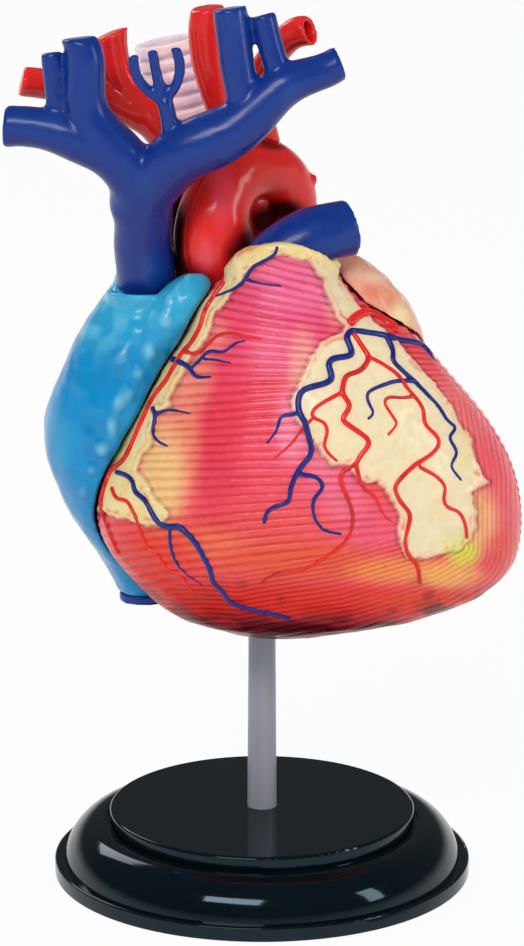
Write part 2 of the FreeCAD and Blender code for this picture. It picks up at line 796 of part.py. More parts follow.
split = block_shape(Vector(-BIG, 0, -BIG), Vector(BIG, BIG, BIG + BIG))
split.Placement = Placement(
    Vector(spring.x, spring.y, 0), Rotation(Vector(1, 0, 0), Vector(arch_way.x, arch_way.y, 0))
)
sub_part("aortic_arch_front", fixed("arch_front_form", aorta_solid.cut(split)))
sub_part("aortic_arch_rear", fixed("arch_rear_form", aorta_solid.common(split)))

# ---------------------------------------------------------------- pulmonary trunk
trunk_stations = [
    (trunk_seat - trunk_axis * value("trunk_radius"), value("trunk_radius")),
    (trunk_seat + trunk_axis * value("gap"), value("trunk_radius")),
    (place("trunk_bend"), value("trunk_radius")),
    (place("trunk_elbow"), value("(trunk_radius + trunk_tip_radius) / 2")),
    (place("trunk_tip"), value("trunk_tip_radius")),
]
below_seat = block_shape(
    Vector(-BIG, -BIG, -BIG), Vector(BIG, BIG, trunk_seat.z + value("seat_play"))
)
trunk_wall = value("trunk_wall")
lining = [(point, radius - trunk_wall) for point, radius in trunk_stations[:-1]]
beyond = trunk_stations[-1][0] + (trunk_stations[-1][0] - trunk_stations[-2][0]) * 0.1
lining.append((beyond, value("trunk_tip_radius") - trunk_wall))
trunk_plug = rod_shape(
    trunk_seat - trunk_axis * value("trunk_plug_length"),
    trunk_axis,
    value("trunk_plug_radius"),
    value("trunk_plug_length + trunk_radius"),
)
trunk_bore = rod_shape(
    trunk_seat - trunk_axis * value("trunk_plug_length"),
    trunk_axis,
    value("trunk_plug_radius - trunk_wall"),
    value("trunk_plug_length + trunk_radius"),
)
trunk = tube_shape(trunk_stations).cut(below_seat).fuse(trunk_plug)
trunk = trunk.cut(tube_shape(lining[1:])).cut(trunk_bore)
sub_part("pulmonary_trunk", fixed("trunk_form", trunk.removeSplitter()))

# ---------------------------------------------------------------- great veins
cava_plug_end = cava_seat - cava_axis * value("cava_plug_length")
cava_rise = place("cava_fork") - cava_seat
cava_start = [(cava_seat + cava_axis * value("seat_play"), value("cava_radius"))]
cava_start += [(cava_seat + cava_rise * part, value("cava_radius")) for part in (0.35, 0.7, 1.0)]
vein_ways = [
    cava_start
    + way_of(
        ("right_bend", "right_bend_radius"),
        ("right_jugular_root", "right_jugular_root_radius"),
        ("right_jugular_middle", "(right_jugular_root_radius + right_jugular_radius) / 2"),
        ("right_jugular_tip", "right_jugular_radius"),
    ),
    [(cava_start[2][0], value("left_start_radius"))]
    + way_of(
        ("cava_fork", "left_fork_radius"),
        ("left_bend", "left_fork_radius"),
        ("left_arm_root", "left_arm_root_radius"),
        ("left_arm_bend", "left_arm_root_radius"),
        ("left_arm_middle", "left_arm_middle_radius"),
        ("left_arm_elbow", "(left_arm_middle_radius + left_arm_radius) / 2"),
        ("left_arm_end", "left_arm_radius"),
        ("left_arm_tip", "left_arm_end_radius"),
    ),
    way_of(
        ("cava_fork", "right_bend_radius"),
        ("right_arm_root", "right_arm_root_radius"),
        ("right_arm_bend", "right_arm_root_radius"),
        ("right_arm_middle", "right_arm_radius"),
        ("right_arm_tip", "right_arm_radius"),
    ),
    way_of(
        ("right_side_vein_root", "right_side_vein_radius"),
        ("right_side_vein_tip", "right_side_vein_radius"),
    ),
    way_of(
        ("thyroid_root", "thyroid_radius"),
        ("thyroid_neck", "thyroid_radius"),
        ("thyroid_fork", "thyroid_radius"),
    ),
]
for vein in ("left_jugular", "left_side_vein"):
    vein_ways.append(
        way_of(*[(f"{vein}_{stop}", vein + "_radius") for stop in ("root", "bend", "tip")])
    )
for side in ("left", "middle", "right"):
    vein_ways.append(
        way_of(
            ("thyroid_fork", "thyroid_branch_radius"),
            (f"thyroid_{side}_bend", "thyroid_branch_radius"),
            (f"thyroid_{side}_tip", "thyroid_branch_radius"),
        )
    )
cava_plug = rod_shape(
    cava_plug_end, cava_axis, value("cava_plug_radius"), value("cava_plug_length + cava_radius")
)
veins = tree_shape(vein_ways).fuse(cava_plug).removeSplitter()
sub_part("superior_vena_cava", fixed("veins_form", veins))

# ---------------------------------------------------------------- right atrium
atrium_form = level_loft("atrium_form", ATRIUM_LEVELS, "atrium_depth_centre")
ATRIUM_INNER = ["crest", "cheek", "pouch", "bulge", "taper", "neck"]
atrium_room = level_loft(
    "atrium_room",
    ATRIUM_INNER,
    "atrium_depth_centre",
    "-atrium_wall",
    {"crest": "atrium_ceiling", "neck": "atrium_floor"},
)
ear = ellipsoid(
    "ear",
    "ear_half_length",
    "ear_half_width",
    "ear_half_depth",
    "ear_x",
    "ear_y",
    "ear_z",
    "ear_lean_angle",
)
doc.recompute()
over_seat = rod_shape(cava_seat, cava_axis, value("crest_halfwidth * 2"), BIG / 8)
atrium = copy_of(atrium_form).cut(over_seat).fuse(copy_of(ear)).cut(copy_of(atrium_room))
atrium_spine = Vector(
    value("pouch_centre"), value("atrium_depth_centre + atrium_peg_setback"), 0
)
atrium_pegs = []
for height in ("upper_post_height", "lower_post_height"):
    start = atrium_spine + Vector(-value("pouch_halfwidth * 0.9"), 0, value(height))
    post = rod_shape(start, Vector(1, 0, 0), value("post_radius"), value("pouch_halfwidth * 2"))
    atrium = atrium.fuse(post.common(copy_of(atrium_form)))
    atrium_pegs.append((start, Vector(1, 0, 0)))
cava_room = rod_shape(cava_seat, cava_axis, value("cava_radius + gap"), BIG / 8)
cava_bore = rod_shape(cava_plug_end, cava_axis, value("cava_plug_radius") + play, BIG / 8)
lower_seat = Vector(
    value("lower_cava_x"), value("atrium_depth_centre"), value("outlet_height")
)
lower_form = rod_shape(
    lower_seat - Vector(0, 0, value("seat_play")),
    Vector(0, 0, -1),
    value("lower_cava_radius"),
    value("lower_cava_band"),
)
lower_form = lower_form.fuse(
    rod_shape(
        lower_seat - Vector(0, 0, value("lower_cava_band / 2")),
        Vector(0, 0, 1),
        value("lower_plug_radius"),
        value("lower_plug_length"),
    )
).cut(heart_space)
lower_bore = rod_shape(
    lower_seat - Vector(0, 0, value("lower_cava_band")),
    Vector(0, 0, 1),
    value("lower_plug_radius") + play,
    value("lower_plug_length + lower_cava_band"),
)
atrium = atrium.cut(heart_space).cut(aorta_space).cut(cava_room).cut(cava_bore).cut(lower_bore)


def with_pegs(piece, host, sockets):
    """Runs a round peg from each socket's start into the host, and drills the host for it."""
    for start, way in sockets:
        line = Part.makeLine(start, start + way * BIG)
        entry = min(start.distanceToPoint(v.Point) for v in host.common(line).Vertexes)
        root = start + way * value("post_radius")
        length = entry + value("peg_grip - post_radius")
        piece = piece.fuse(rod_shape(root, way, value("peg_radius"), length))
        drill = entry + value("peg_grip") + play
        host = host.cut(rod_shape(start, way, value("peg_radius") + play, drill))
    return piece, host


# ---------------------------------------------------------------- ventricle walls
canal = rod_shape(
    trunk_seat - trunk_axis * value("outflow_length"),
    trunk_axis,
    value("outflow_radius"),
    value("outflow_length"),
)
trunk_socket = rod_shape(
    trunk_seat - trunk_axis * value("trunk_plug_length + seat_play + cuff_depth"),
    trunk_axis,
    value("trunk_plug_radius") + play,
    value("trunk_plug_length + cuff_depth + trunk_radius"),
)
aorta_socket = rod_shape(
    plug_floor - Vector(0, 0, value("seat_play + cuff_depth")),
    Vector(0, 0, 1),
    value("aorta_plug_radius") + play,
    BIG,
)
aortic_way = Vector(value("mitral_x"), plug_floor.y, value("cavity_roof")) - plug_floor
aortic_canal = rod_shape(
    plug_floor, aortic_way.normalize(), value("aortic_canal_radius"), value("cavity_roof / 3")
)
sleeve_top = value("rod_top")
sleeve = rod_shape(
    Vector(), Vector(0, 0, 1), value("rod_top_radius + rod_sleeve"), sleeve_top + value("rod_sleeve")
)
rod_bore = rod_shape(
    Vector(), Vector(0, 0, 1), value("rod_top_radius + rod_play"), sleeve_top + value("seat_play")
)
chambers = copy_of(cavity_form).cut(sleeve)
walls = copy_of(heart_form).cut(chambers).cut(canal).cut(trunk_socket)
walls = walls.cut(aorta_socket).cut(aorta_space).cut(aortic_canal)
rear_wall = walls.cut(front_block).cut(rod_bore)
below_crown = block_shape(Vector(-BIG, -BIG, -BIG), Vector(BIG, BIG, value("crown_height")))
trunk_room = tube_shape([(point, radius + value("gap")) for point, radius in trunk_stations])
lip_arc = Part.makeCylinder(
    value("lip_arc_radius"),
    BIG,
    Vector(value("crown_centre + lip_shift"), -BIG, value("crown_height + lip_rise - lip_arc_radius")),
    Vector(0, 1, 0),
)
lip = copy_of(lip_form).common(front_block).common(lip_arc)
lip = lip.cut(trunk_room.cut(below_crown)).cut(trunk_socket).cut(canal)
trunk_room_pulled = trunk_room.copy()
trunk_room_pulled.translate(trunk_axis * value("trunk_radius / 2"))
lip = lip.cut(trunk_room_pulled.cut(below_crown))
front_wall = walls.cut(rear_block).fuse(lip)
for spot in ("side_peg_left", "side_peg_right", "top_peg", "low_peg"):
    start = Vector(value(spot + "_x"), seam - value("wall_peg_length / 2"), value(spot + "_z"))
    length = value("wall_peg_length")
    front_wall = front_wall.fuse(
        rod_shape(start, Vector(0, 1, 0), value("wall_peg_radius"), length)
    )
    rear_wall = rear_wall.cut(
        rod_shape(start, Vector(0, 1, 0), value("wall_peg_radius") + play, length + play)
    )

# ---------------------------------------------------------------- septum
slab = Part.makeBox(value("septum_thickness"), BIG, BIG)
slab.translate(Vector(-value("septum_thickness / 2"), -BIG / 2, -BIG / 2))
slab.Placement = Placement(
    Vector(value("septum_middle_x"), 0, value("septum_middle_z")),
    Rotation(Vector(0, 1, 0), -value("septum_lean_angle")),
).multiply(slab.Placement)
rear_room = copy_of(cavity_form).common(rear_block)
septum = slab.common(rear_room.fuse(copy_of(septum_room).common(front_block)))

# ---------------------------------------------------------------- mouths of the inflow valves
inflow = value("inflow_valve_radius")
hole_radius = inflow + value("cuff_width")
valve_seats = {}
for node, far, way in (
    ("tricuspid_valve", Vector(-BIG, value("tricuspid_y"), value("tricuspid_z")), Vector(1, 0, 0)),
    ("mitral_valve", Vector(value("mitral_x"), BIG, value("mitral_z")), Vector(0, -1, 0)),
):
    crossings = copy_of(heart_form).common(Part.makeLine(far, far + way * BIG)).Vertexes
    skin = min(far.distanceToPoint(v.Point) for v in crossings)
    seat = far + way * (skin + value("cuff_depth"))
    valve_seats[node] = (seat, way)
    rear_wall = rear_wall.cut(
        rod_shape(seat - way * value("wall * 2"), way, hole_radius, value("wall * 4"))
    )
    septum = septum.cut(
        rod_shape(seat - way * value("wall"), way, hole_radius + value("gap"), value("wall * 3"))
    )
tricuspid_room, mitral_room = (
    rod_shape(seat - way * value("wall"), way, hole_radius + value("gap"), value("wall * 2"))
    for seat, way in valve_seats.values()
)
sub_part("interventricular_septum", fixed("septum_form", septum.removeSplitter()))

# ---------------------------------------------------------------- left atrium
left_form = level_loft("left_form", LEFT_LEVELS, "left_atrium_y")
left_space = level_loft("left_space", LEFT_LEVELS, "left_atrium_y", "gap")
left_room = level_loft(
    "left_room",
    LEFT_LEVELS,
    "left_atrium_y",
    "-left_atrium_wall",
    {"dome": "dome_height - left_atrium_wall", "trough": "trough_height + left_atrium_wall"},
)
doc.recompute()
left_centre = Vector(value("chamber_centre"), value("left_atrium_y"), value("chamber_height"))
left_atrium = copy_of(left_form).cut(copy_of(left_room))
left_pegs = []
for side in (-1, 1):
    start = Vector(
        left_centre.x + side * value("left_atrium_peg_spread"),
        left_centre.y + value("chamber_halfdepth - 2 * left_atrium_wall"),
        value("left_atrium_peg_height"),
    )
    post = rod_shape(start, Vector(0, -1, 0), value("post_radius"), BIG / 4)
    left_atrium = left_atrium.fuse(post.common(copy_of(left_form)))
    left_pegs.append((start, Vector(0, -1, 0)))
left_atrium = left_atrium.cut(copy_of(heart_room)).cut(mitral_room)
for node, side in (("right_pulmonary_veins", -1), ("left_pulmonary_veins", 1)):
    root = left_centre + Vector(
        side * value("lung_vein_root_spread"), value("lung_vein_root_depth"), 0
    )
    pair = []
    for rise in (-1, 1):
        tip = left_centre + Vector(
            side * value("lung_vein_spread"),
            value("lung_vein_depth"),
            rise * value("lung_vein_rise"),
        )
        way = [(root, value("lung_vein_radius")), (tip, value("lung_vein_radius"))]
        left_atrium = left_atrium.cut(tube_shape([(p, r + play) for p, r in way]))
        pair.append(way)
    veins = tree_shape(pair)
    for way in pair:
        veins = veins.cut(mouth_shape(way, value("vein_wall")))
    sub_part(node, fixed(node + "_form", veins.removeSplitter()))

lung_artery_start = place("lung_artery")
lung_artery_end = lung_artery_start - Vector(value("lung_artery_length"), 0, 0)
lung_artery_way = [
    (lung_artery_start, value("lung_artery_radius")),
    (lung_artery_end, value("lung_artery_radius")),
]
lung_artery = tube_shape(lung_artery_way).cut(mouth_shape(lung_artery_way, value("vein_wall")))
stalk_top = lung_artery_start - Vector(value("lung_artery_radius"), 0, 0)
stalk = rod_shape(stalk_top, Vector(0, 0, -1), value("post_radius"), BIG / 8)
lung_artery = lung_artery.fuse(stalk.cut(copy_of(left_form)).common(
    block_shape(Vector(-BIG, -BIG, left_centre.z), Vector(BIG, BIG, BIG))
))
lung_artery, left_atrium = with_pegs(lung_artery, left_atrium, [(stalk_top, Vector(0, 0, -1))])
sub_part("right_pulmonary_artery", fixed("lung_artery_form", lung_artery.removeSplitter()))

# ---------------------------------------------------------------- windpipe
trachea_foot = place("trachea")
trachea_way = tilted(value("trachea_lean_angle"), 0)
trachea_top = trachea_foot + trachea_way * value("trachea_length")
trachea_radius = value("trachea_radius")
carina = trachea_foot - trachea_way * value("trachea_radius / 2")
windpipe = rod_shape(carina, trachea_way, trachea_radius, (trachea_top - carina).Length)
for side in (-1, 1):
    tip = carina + Vector(side * value("bronchus_spread"), 0, -value("bronchus_drop"))
    windpipe = windpipe.fuse(
        tube_shape(
            [
                (trachea_foot + Vector(side * value("bronchus_radius / 2"), 0, 0),
                 value("bronchus_radius")),
                (tip, value("bronchus_radius")),
            ]
        )
    )
for ring in range(int(value("ring_count"))):
    middle = trachea_top - trachea_way * (value("ring_pitch") * (ring + 1))
    groove = Part.makeTorus(
        trachea_radius + value("ring_groove_width - ring_groove"),
        value("ring_groove_width"),
        middle,
        trachea_way,
    )
    windpipe = windpipe.cut(groove)
windpipe = windpipe.cut(
    rod_shape(
        trachea_foot + trachea_way * value("bronchus_radius * 2"),
        trachea_way,
        trachea_radius - value("trachea_wall"),
        value("trachea_length"),
    )
)
post_foot = place("trachea_peg")
post_base = post_foot + Vector(0, 0, value("peg_grip"))
windpipe_post = tube_shape(
    [(post_base, value("post_radius")), (trachea_foot, value("post_radius"))]
)
windpipe = windpipe.fuse(windpipe_post)
windpipe = windpipe.cut(copy_of(left_space))
boss = rod_shape(
    post_foot - Vector(0, 0, value("left_atrium_wall")), Vector(0, 0, 1), value("post_radius"), BIG
)
left_atrium = left_atrium.fuse(boss.common(copy_of(left_form)))
peg_bottom = post_foot + Vector(0, 0, value("seat_play"))
windpipe = windpipe.fuse(
    rod_shape(peg_bottom, Vector(0, 0, 1), value("peg_radius"), value("post_radius * 2"))
)
left_atrium = left_atrium.cut(
    rod_shape(post_foot, Vector(0, 0, 1), value("peg_radius") + play, BIG / 8)
)
sub_part("trachea", fixed("windpipe_form", windpipe.removeSplitter()))

# ---------------------------------------------------------------- auricle and atria
auricle_egg = ellipsoid(
    "auricle_egg",
    "auricle_half_length",
    "auricle_half_width",
    "auricle_half_depth",
    "auricle_x",
    "auricle_y",
    "auricle_z",
    "auricle_lean_angle",
)
doc.recompute()
auricle = copy_of(auricle_egg).cut(heart_space).cut(copy_of(left_space)).cut(trunk_room)
auricle_peg = place("auricle") + Vector(
    value("auricle_peg_reach"), value("auricle_peg_depth"), -value("auricle_peg_drop")
)
auricle, rear_wall = with_pegs(auricle, rear_wall, [(auricle_peg, Vector(-1, 0, 0))])
sub_part("left_auricle", fixed("auricle_form", auricle.removeSplitter()))
left_atrium, rear_wall = with_pegs(left_atrium, rear_wall, left_pegs)
sub_part("left_atrium", fixed("left_atrium_form", left_atrium))
atrium, rear_wall = with_pegs(atrium.cut(tricuspid_room), rear_wall, atrium_pegs)
sub_part("right_atrium", fixed("right_atrium_form", atrium.removeSplitter()))
sub_part("inferior_vena_cava", fixed("lower_cava_form", lower_form))


# ---------------------------------------------------------------- valves
def valve_shape(centre, way, radius, leaves, depth):
    """A cuff with pointed leaflets that hang in a funnel along way."""
    cuff, thick = value("cuff_depth"), value("leaflet_thickness")
    ring = Part.makeCylinder(radius + value("cuff_width"), cuff).cut(
        Part.makeCylinder(radius, cuff)
    )
    root, tip = radius + thick / 2, radius / 3
    funnel = Part.makeCone(root, tip, depth).cut(Part.makeCone(root - thick, tip - thick, depth))
    for leaf in range(leaves):
        slit = Part.makeBox(
            value("leaflet_slit"), radius, depth, Vector(-value("leaflet_slit / 2"), 0, cuff / 4)
        )
        slit.rotate(Vector(), Vector(0, 0, 1), 360 * leaf / leaves)
        funnel = funnel.cut(slit)
    valve = ring.fuse(funnel).removeSplitter()
    valve.transformShape(Placement(centre, Rotation(Vector(0, 0, 1), way)).toMatrix())
    return valve


leaves = int(value("leaf_count"))
leaf_depth = value("cuff_depth + leaflet_depth")
for node, (seat, way) in valve_seats.items():
    count = leaves if node == "tricuspid_valve" else int(value("leaf_count_mitral"))
    sub_part(
        node,
        fixed(node + "_form", valve_shape(seat, way, inflow, count, leaf_depth)),
    )
for node, base_point, way, bore in (
    ("pulmonary_valve", trunk_seat - trunk_axis * value("trunk_plug_length + cuff_depth"),
     trunk_axis, value("trunk_plug_radius")),
    ("aortic_valve", plug_floor - Vector(0, 0, value("cuff_depth")), Vector(0, 0, 1),
     value("aorta_plug_radius")),
):
    flap = valve_shape(
        base_point - way * value("seat_play"), way, bore - value("cuff_width"), leaves,
        value("cuff_depth"),
    )
    sub_part(node, fixed(node + "_form", flap))

# ---------------------------------------------------------------- papillary muscles
for side, node in (("right", "tricuspid_valve"), ("left", "mitral_valve")):
    foot = Vector(value(side + "_muscle_x"), value("muscle_y"), value("cavity_floor"))
    pad = rod_shape(foot, Vector(0, 0, 1), value("muscle_pad_radius"), value("muscle_pad_height"))
    seat, way = valve_seats[node]
    mouth = seat + way * (leaf_depth + value("knot_radius + gap"))
    reach = value("inflow_valve_radius / 3")
    spread_way = Vector(0, 1, 0) if side == "right" else Vector(1, 0, 0)
    hooks = [mouth + spread_way * spread for spread in (-reach, reach)]
    stems = [Part.makeSphere(value("knot_radius"), hook) for hook in hooks]
    for turn in (-1, 1):
        start = foot + Vector(0, turn * value("muscle_spread"), 0)
        tip = start + Vector(0, 0, value("muscle_length"))
        stems.append(
            Part.makeCone(
                value("muscle_foot_radius"),
                value("muscle_tip_radius"),
                value("muscle_length"),
                start,
                Vector(0, 0, 1),
            )
        )
        for hook in hooks:
            sunk = tip - (hook - tip).normalize() * value("muscle_tip_radius / 2")
            cord = hook - sunk
            stems.append(rod_shape(sunk, cord, value("cord_radius"), cord.Length))
    muscle = pad.multiFuse(stems).removeSplitter()
    sub_part(side + "_papillary_muscles", fixed(side + "_muscle_form", muscle))

sub_part("rear_heart_wall", fixed("rear_wall_form", rear_wall.removeSplitter()))
sub_part("front_heart_wall", fixed("front_wall_form", front_wall.removeSplitter()))

# ---------------------------------------------------------------- files
doc.recompute()
for item in doc.Objects:
    if "Invalid" in item.State or "Error" in item.State:
        raise RuntimeError(f"{item.Label}: {item.State}")
os.makedirs("parts", exist_ok=True)
for node, item in sub_parts.items():
    shape = item.Shape
    if shape.isNull() or not shape.isValid() or len(shape.Solids) != 1:
        raise RuntimeError(f"{node}: {len(shape.Solids)} solids, valid {shape.isValid()}")
    shape.exportStep(f"parts/{node}.step")
    print(f"{node}: {shape.Volume:.0f} mm3")
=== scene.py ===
import math

import bmesh
import bpy
import numpy as np
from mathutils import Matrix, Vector
from mathutils.bvhtree import BVHTree


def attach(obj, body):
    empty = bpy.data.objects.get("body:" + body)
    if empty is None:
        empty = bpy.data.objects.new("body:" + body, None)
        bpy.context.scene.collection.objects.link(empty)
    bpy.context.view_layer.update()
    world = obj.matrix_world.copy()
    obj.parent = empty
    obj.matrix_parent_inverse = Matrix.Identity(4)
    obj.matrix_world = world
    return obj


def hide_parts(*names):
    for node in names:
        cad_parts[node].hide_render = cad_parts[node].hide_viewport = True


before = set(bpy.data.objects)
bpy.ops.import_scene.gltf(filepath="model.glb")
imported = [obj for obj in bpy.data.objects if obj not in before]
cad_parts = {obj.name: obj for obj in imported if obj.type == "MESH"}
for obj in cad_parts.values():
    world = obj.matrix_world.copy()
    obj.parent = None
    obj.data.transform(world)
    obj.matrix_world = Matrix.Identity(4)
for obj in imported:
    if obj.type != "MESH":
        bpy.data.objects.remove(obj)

MM = 0.001
scene = bpy.context.scene
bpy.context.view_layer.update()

# ------------------------------------------------------------------ camera
CAMERA = np.array([0.0, -541.362, 202.984])  # mm
TILT = math.radians(14.8237)
FOCAL = 3909.208  # picture pixels
WIDE, HIGH = 524, 946

camera_data = bpy.data.cameras.new("camera")
camera = bpy.data.objects.new("camera", camera_data)
scene.collection.objects.link(camera)
camera.location = Vector(CAMERA * MM)
camera.rotation_euler = (math.pi / 2 - TILT, 0, 0)
camera_data.sensor_width = 36
camera_data.lens = FOCAL * 36 / HIGH
camera_data.clip_start, camera_data.clip_end = 0.01, 20
scene.camera = camera
scene.view_settings.view_transform = "Standard"


def picture(co):
    """Where points in mm fall in the picture, in its pixels."""
    rel = co - CAMERA
    depth = rel[:, 1] * math.cos(TILT) - rel[:, 2] * math.sin(TILT)
    up = rel[:, 1] * math.sin(TILT) + rel[:, 2] * math.cos(TILT)
    return WIDE / 2 + FOCAL * rel[:, 0] / depth, HIGH / 2 - FOCAL * up / depth


def sight(u, v):
    """The unit direction from the camera through a picture point."""
    a, b = (u - WIDE / 2) / FOCAL, (HIGH / 2 - v) / FOCAL
    way = Vector(
        (a, math.cos(TILT) + b * math.sin(TILT), -math.sin(TILT) + b * math.cos(TILT))
    )
    return way.normalized()


# ------------------------------------------------------------------ numbers over points
def smooth(low, high, x):
    t = np.clip((x - low) / (high - low), 0, 1)
    return t * t * (3 - 2 * t)


def grain(co, size, seed=0):
    """Smooth noise from -1 to 1 over points, with lumps of that size."""
    q = co / size
    cell = np.floor(q).astype(np.int64)
    f = q - cell
    f = f * f * (3 - 2 * f)
    total = np.zeros(len(co))
    for corner in range(8):
        step = np.array([corner & 1, corner >> 1 & 1, corner >> 2 & 1])
        p = cell + step
        n = (p[:, 0] * 374761393 + p[:, 1] * 668265263 + p[:, 2] * 2246822519 + seed * 3266489917)
        n = n & 0xFFFFFFFF
        n = ((n ^ (n >> 13)) * 1274126177) & 0xFFFFFFFF
        n = ((n ^ (n >> 16)) & 0xFFFF) / 32768.0 - 1.0
        total += n * np.prod(np.where(step, f, 1 - f), axis=1)
    return total


def mix(a, b, w):
    return a + (np.asarray(b) - a) * w[:, None]


def linear(r, g, b):
    """A picture colour from 0 to 255 as linear light."""
    c = np.array([r, g, b]) / 255
    return np.where(c <= 0.04045, c / 12.92, ((c + 0.055) / 1.055) ** 2.4)


def plain(count, tone):
    """One picture colour over that many points, as linear light."""
    return np.tile(linear(*tone), (count, 1))


def to_line(u, v, line):
    """Distance in pixels from points to a line of picture points, and the place along it."""
    best = np.full(len(u), 1e9)
    where = np.zeros(len(u))
    run = 0.0
    for (a, b), (c, d) in zip(line[:-1], line[1:]):
        length = math.hypot(c - a, d - b)
        t = np.clip(((u - a) * (c - a) + (v - b) * (d - b)) / length**2, 0, 1)
        away = np.hypot(u - a - t * (c - a), v - b - t * (d - b))
        where = np.where(away < best, run + t * length, where)
        best = np.minimum(best, away)
        run += length
    return best, where


def inside(u, v, outline):
    """Signed distance in pixels to a closed outline, positive inside it."""
    away, _ = to_line(u, v, outline + outline[:1])
    odd = np.zeros(len(u), bool)
    for (a, b), (c, d) in zip(outline, outline[1:] + outline[:1]):
        if b == d:
            continue
        crosses = (v < b) != (v < d)
        odd ^= crosses & (u < (c - a) * (v - b) / (d - b) + a)
    return np.where(odd, away, -away)


# ------------------------------------------------------------------ meshes
SIDES = 10  # corners of a small tube's section
# Cell sizes in mm of the remeshed skins
FRONT_CELL, REAR_CELL = 0.34, 0.36
ROUND_CELL = 0.32  # vessels and atria
RING_CELL = 0.2  # windpipe
INNER_CELL = 0.12  # valves and papillary muscles
THIN_CELL = 0.14  # coronary vessels
SEPTUM_CELL = 0.35


def lay_tube(bm, spots, up, radii):
    """A closed tube of changing radius through spots, half sunk along up."""
    for _ in range(4):
        spots[1:-1] = (spots[:-2] + 2 * spots[1:-1] + spots[2:]) / 4
    along = np.gradient(spots, axis=0)
    along /= np.linalg.norm(along, axis=1)[:, None]
    side = np.cross(along, up)
    side /= np.linalg.norm(side, axis=1)[:, None]
    up = np.cross(side, along)
    first, last = spots[0] - along[0] * radii[0] * 0.6, spots[-1] + along[-1] * radii[-1] * 0.6
    spots = np.vstack([first, spots, last])
    side, up = (np.vstack([q[:1], q, q[-1:]]) for q in (side, up))
    radii = np.concatenate([radii[:1] * 0.6, radii, radii[-1:] * 0.6])
    turns = np.arange(SIDES) * 2 * math.pi / SIDES
    rings = [
        [bm.verts.new(middle + radius * (math.cos(t) * s + math.sin(t) * w)) for t in turns]
        for middle, s, w, radius in zip(spots, side, up, radii)
    ]
    for one, two in zip(rings[:-1], rings[1:]):
        for i in range(SIDES):
            j = (i + 1) % SIDES
            bm.faces.new((one[i], one[j], two[j], two[i]))
    bm.faces.new(rings[0][::-1])
    bm.faces.new(rings[-1])


def remeshed(node, voxel, tubes=()):
    """A CAD node's surface in mm, with tubes joined on, as one even mesh of that cell size."""
    bm = bmesh.new()
    bm.from_mesh(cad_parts[node].data)
    bmesh.ops.scale(bm, vec=(1 / MM,) * 3, verts=bm.verts)
    for spots, up, radii in tubes:
        lay_tube(bm, spots, up, radii)
    raw = bpy.data.meshes.new("raw")
    bm.to_mesh(raw)
    bm.free()
    return even_mesh(raw, voxel)


def even_mesh(raw, voxel):
    """One even skin round everything in a mesh, which is used up."""
    carrier = bpy.data.objects.new("raw", raw)
    scene.collection.objects.link(carrier)
    skin = carrier.modifiers.new("skin", "REMESH")
    skin.mode = "VOXEL"
    skin.voxel_size = voxel
    made = bpy.data.meshes.new_from_object(
        carrier.evaluated_get(bpy.context.evaluated_depsgraph_get())
    )
    bpy.data.objects.remove(carrier)
    bpy.data.meshes.remove(raw)
    return made


def points(mesh):
    co = np.empty(len(mesh.vertices) * 3)
    mesh.vertices.foreach_get("co", co)
    return co.reshape(-1, 3)


def normals(mesh):
    n = np.empty(len(mesh.vertices) * 3)
    mesh.vertex_normals.foreach_get("vector", n)
    return n.reshape(-1, 3)


def set_points(mesh, co):
    mesh.vertices.foreach_set("co", co.astype(np.float32).ravel())
    mesh.update()


def relax(mesh, times, weight=0.5):
    """Evens out a mesh; weight is one number or one for each point."""
    co = points(mesh)
    ends = np.empty(len(mesh.edges) * 2, np.int32)
    mesh.edges.foreach_get("vertices", ends)
    a, b = ends.reshape(-1, 2).T
    count = np.bincount(a, minlength=len(co)) + np.bincount(b, minlength=len(co))
    weight = np.broadcast_to(weight, len(co))[:, None]
    for _ in range(times):
        mean = np.stack(
            [
                np.bincount(a, co[b, k], len(co)) + np.bincount(b, co[a, k], len(co))
                for k in range(3)
            ],
            axis=1,
        ) / np.maximum(count, 1)[:, None]
        co = co + (mean - co) * weight
    set_points(mesh, co)


def store(mesh, name, values):
    """Puts four numbers for each point on a mesh, for its material to read."""
    layer = mesh.attributes.new(name, "FLOAT_COLOR", "POINT")
    layer.data.foreach_set("color", values.astype(np.float32).ravel())


def paint(mesh, colour, gloss=1.0):
    """Stores the paint's colour, and how glossy it is, on a mesh's points."""
    store(mesh, "paint", np.column_stack([colour, np.broadcast_to(gloss, len(colour))]))


def nearness(co, nodes, reach):
    """1 where points in mm touch other CAD nodes, 0 from reach mm on."""
    close = np.zeros(len(co))
    for node in nodes:
        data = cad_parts[node].data
        surface = BVHTree.FromPolygons(
            [tuple(c) for c in points(data) / MM], [tuple(f.vertices) for f in data.polygons]
        )
        for i, spot in enumerate(co):
            away = surface.find_nearest(Vector(spot), reach)[3]
            if away is not None:
                close[i] = max(close[i], 1 - away / reach)
    return close


def piece(name, mesh, body, material, nodes=()):
    """A finished piece from a mesh in mm."""
    co = points(mesh)
    set_points(mesh, co * MM)
    mesh.name = name
    mesh.materials.clear()
    mesh.materials.append(material)
    mesh.shade_smooth()
    thing = bpy.data.objects.new(name, mesh)
    scene.collection.objects.link(thing)
    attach(thing, body)
    if nodes:
        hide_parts(*nodes)
    return thing


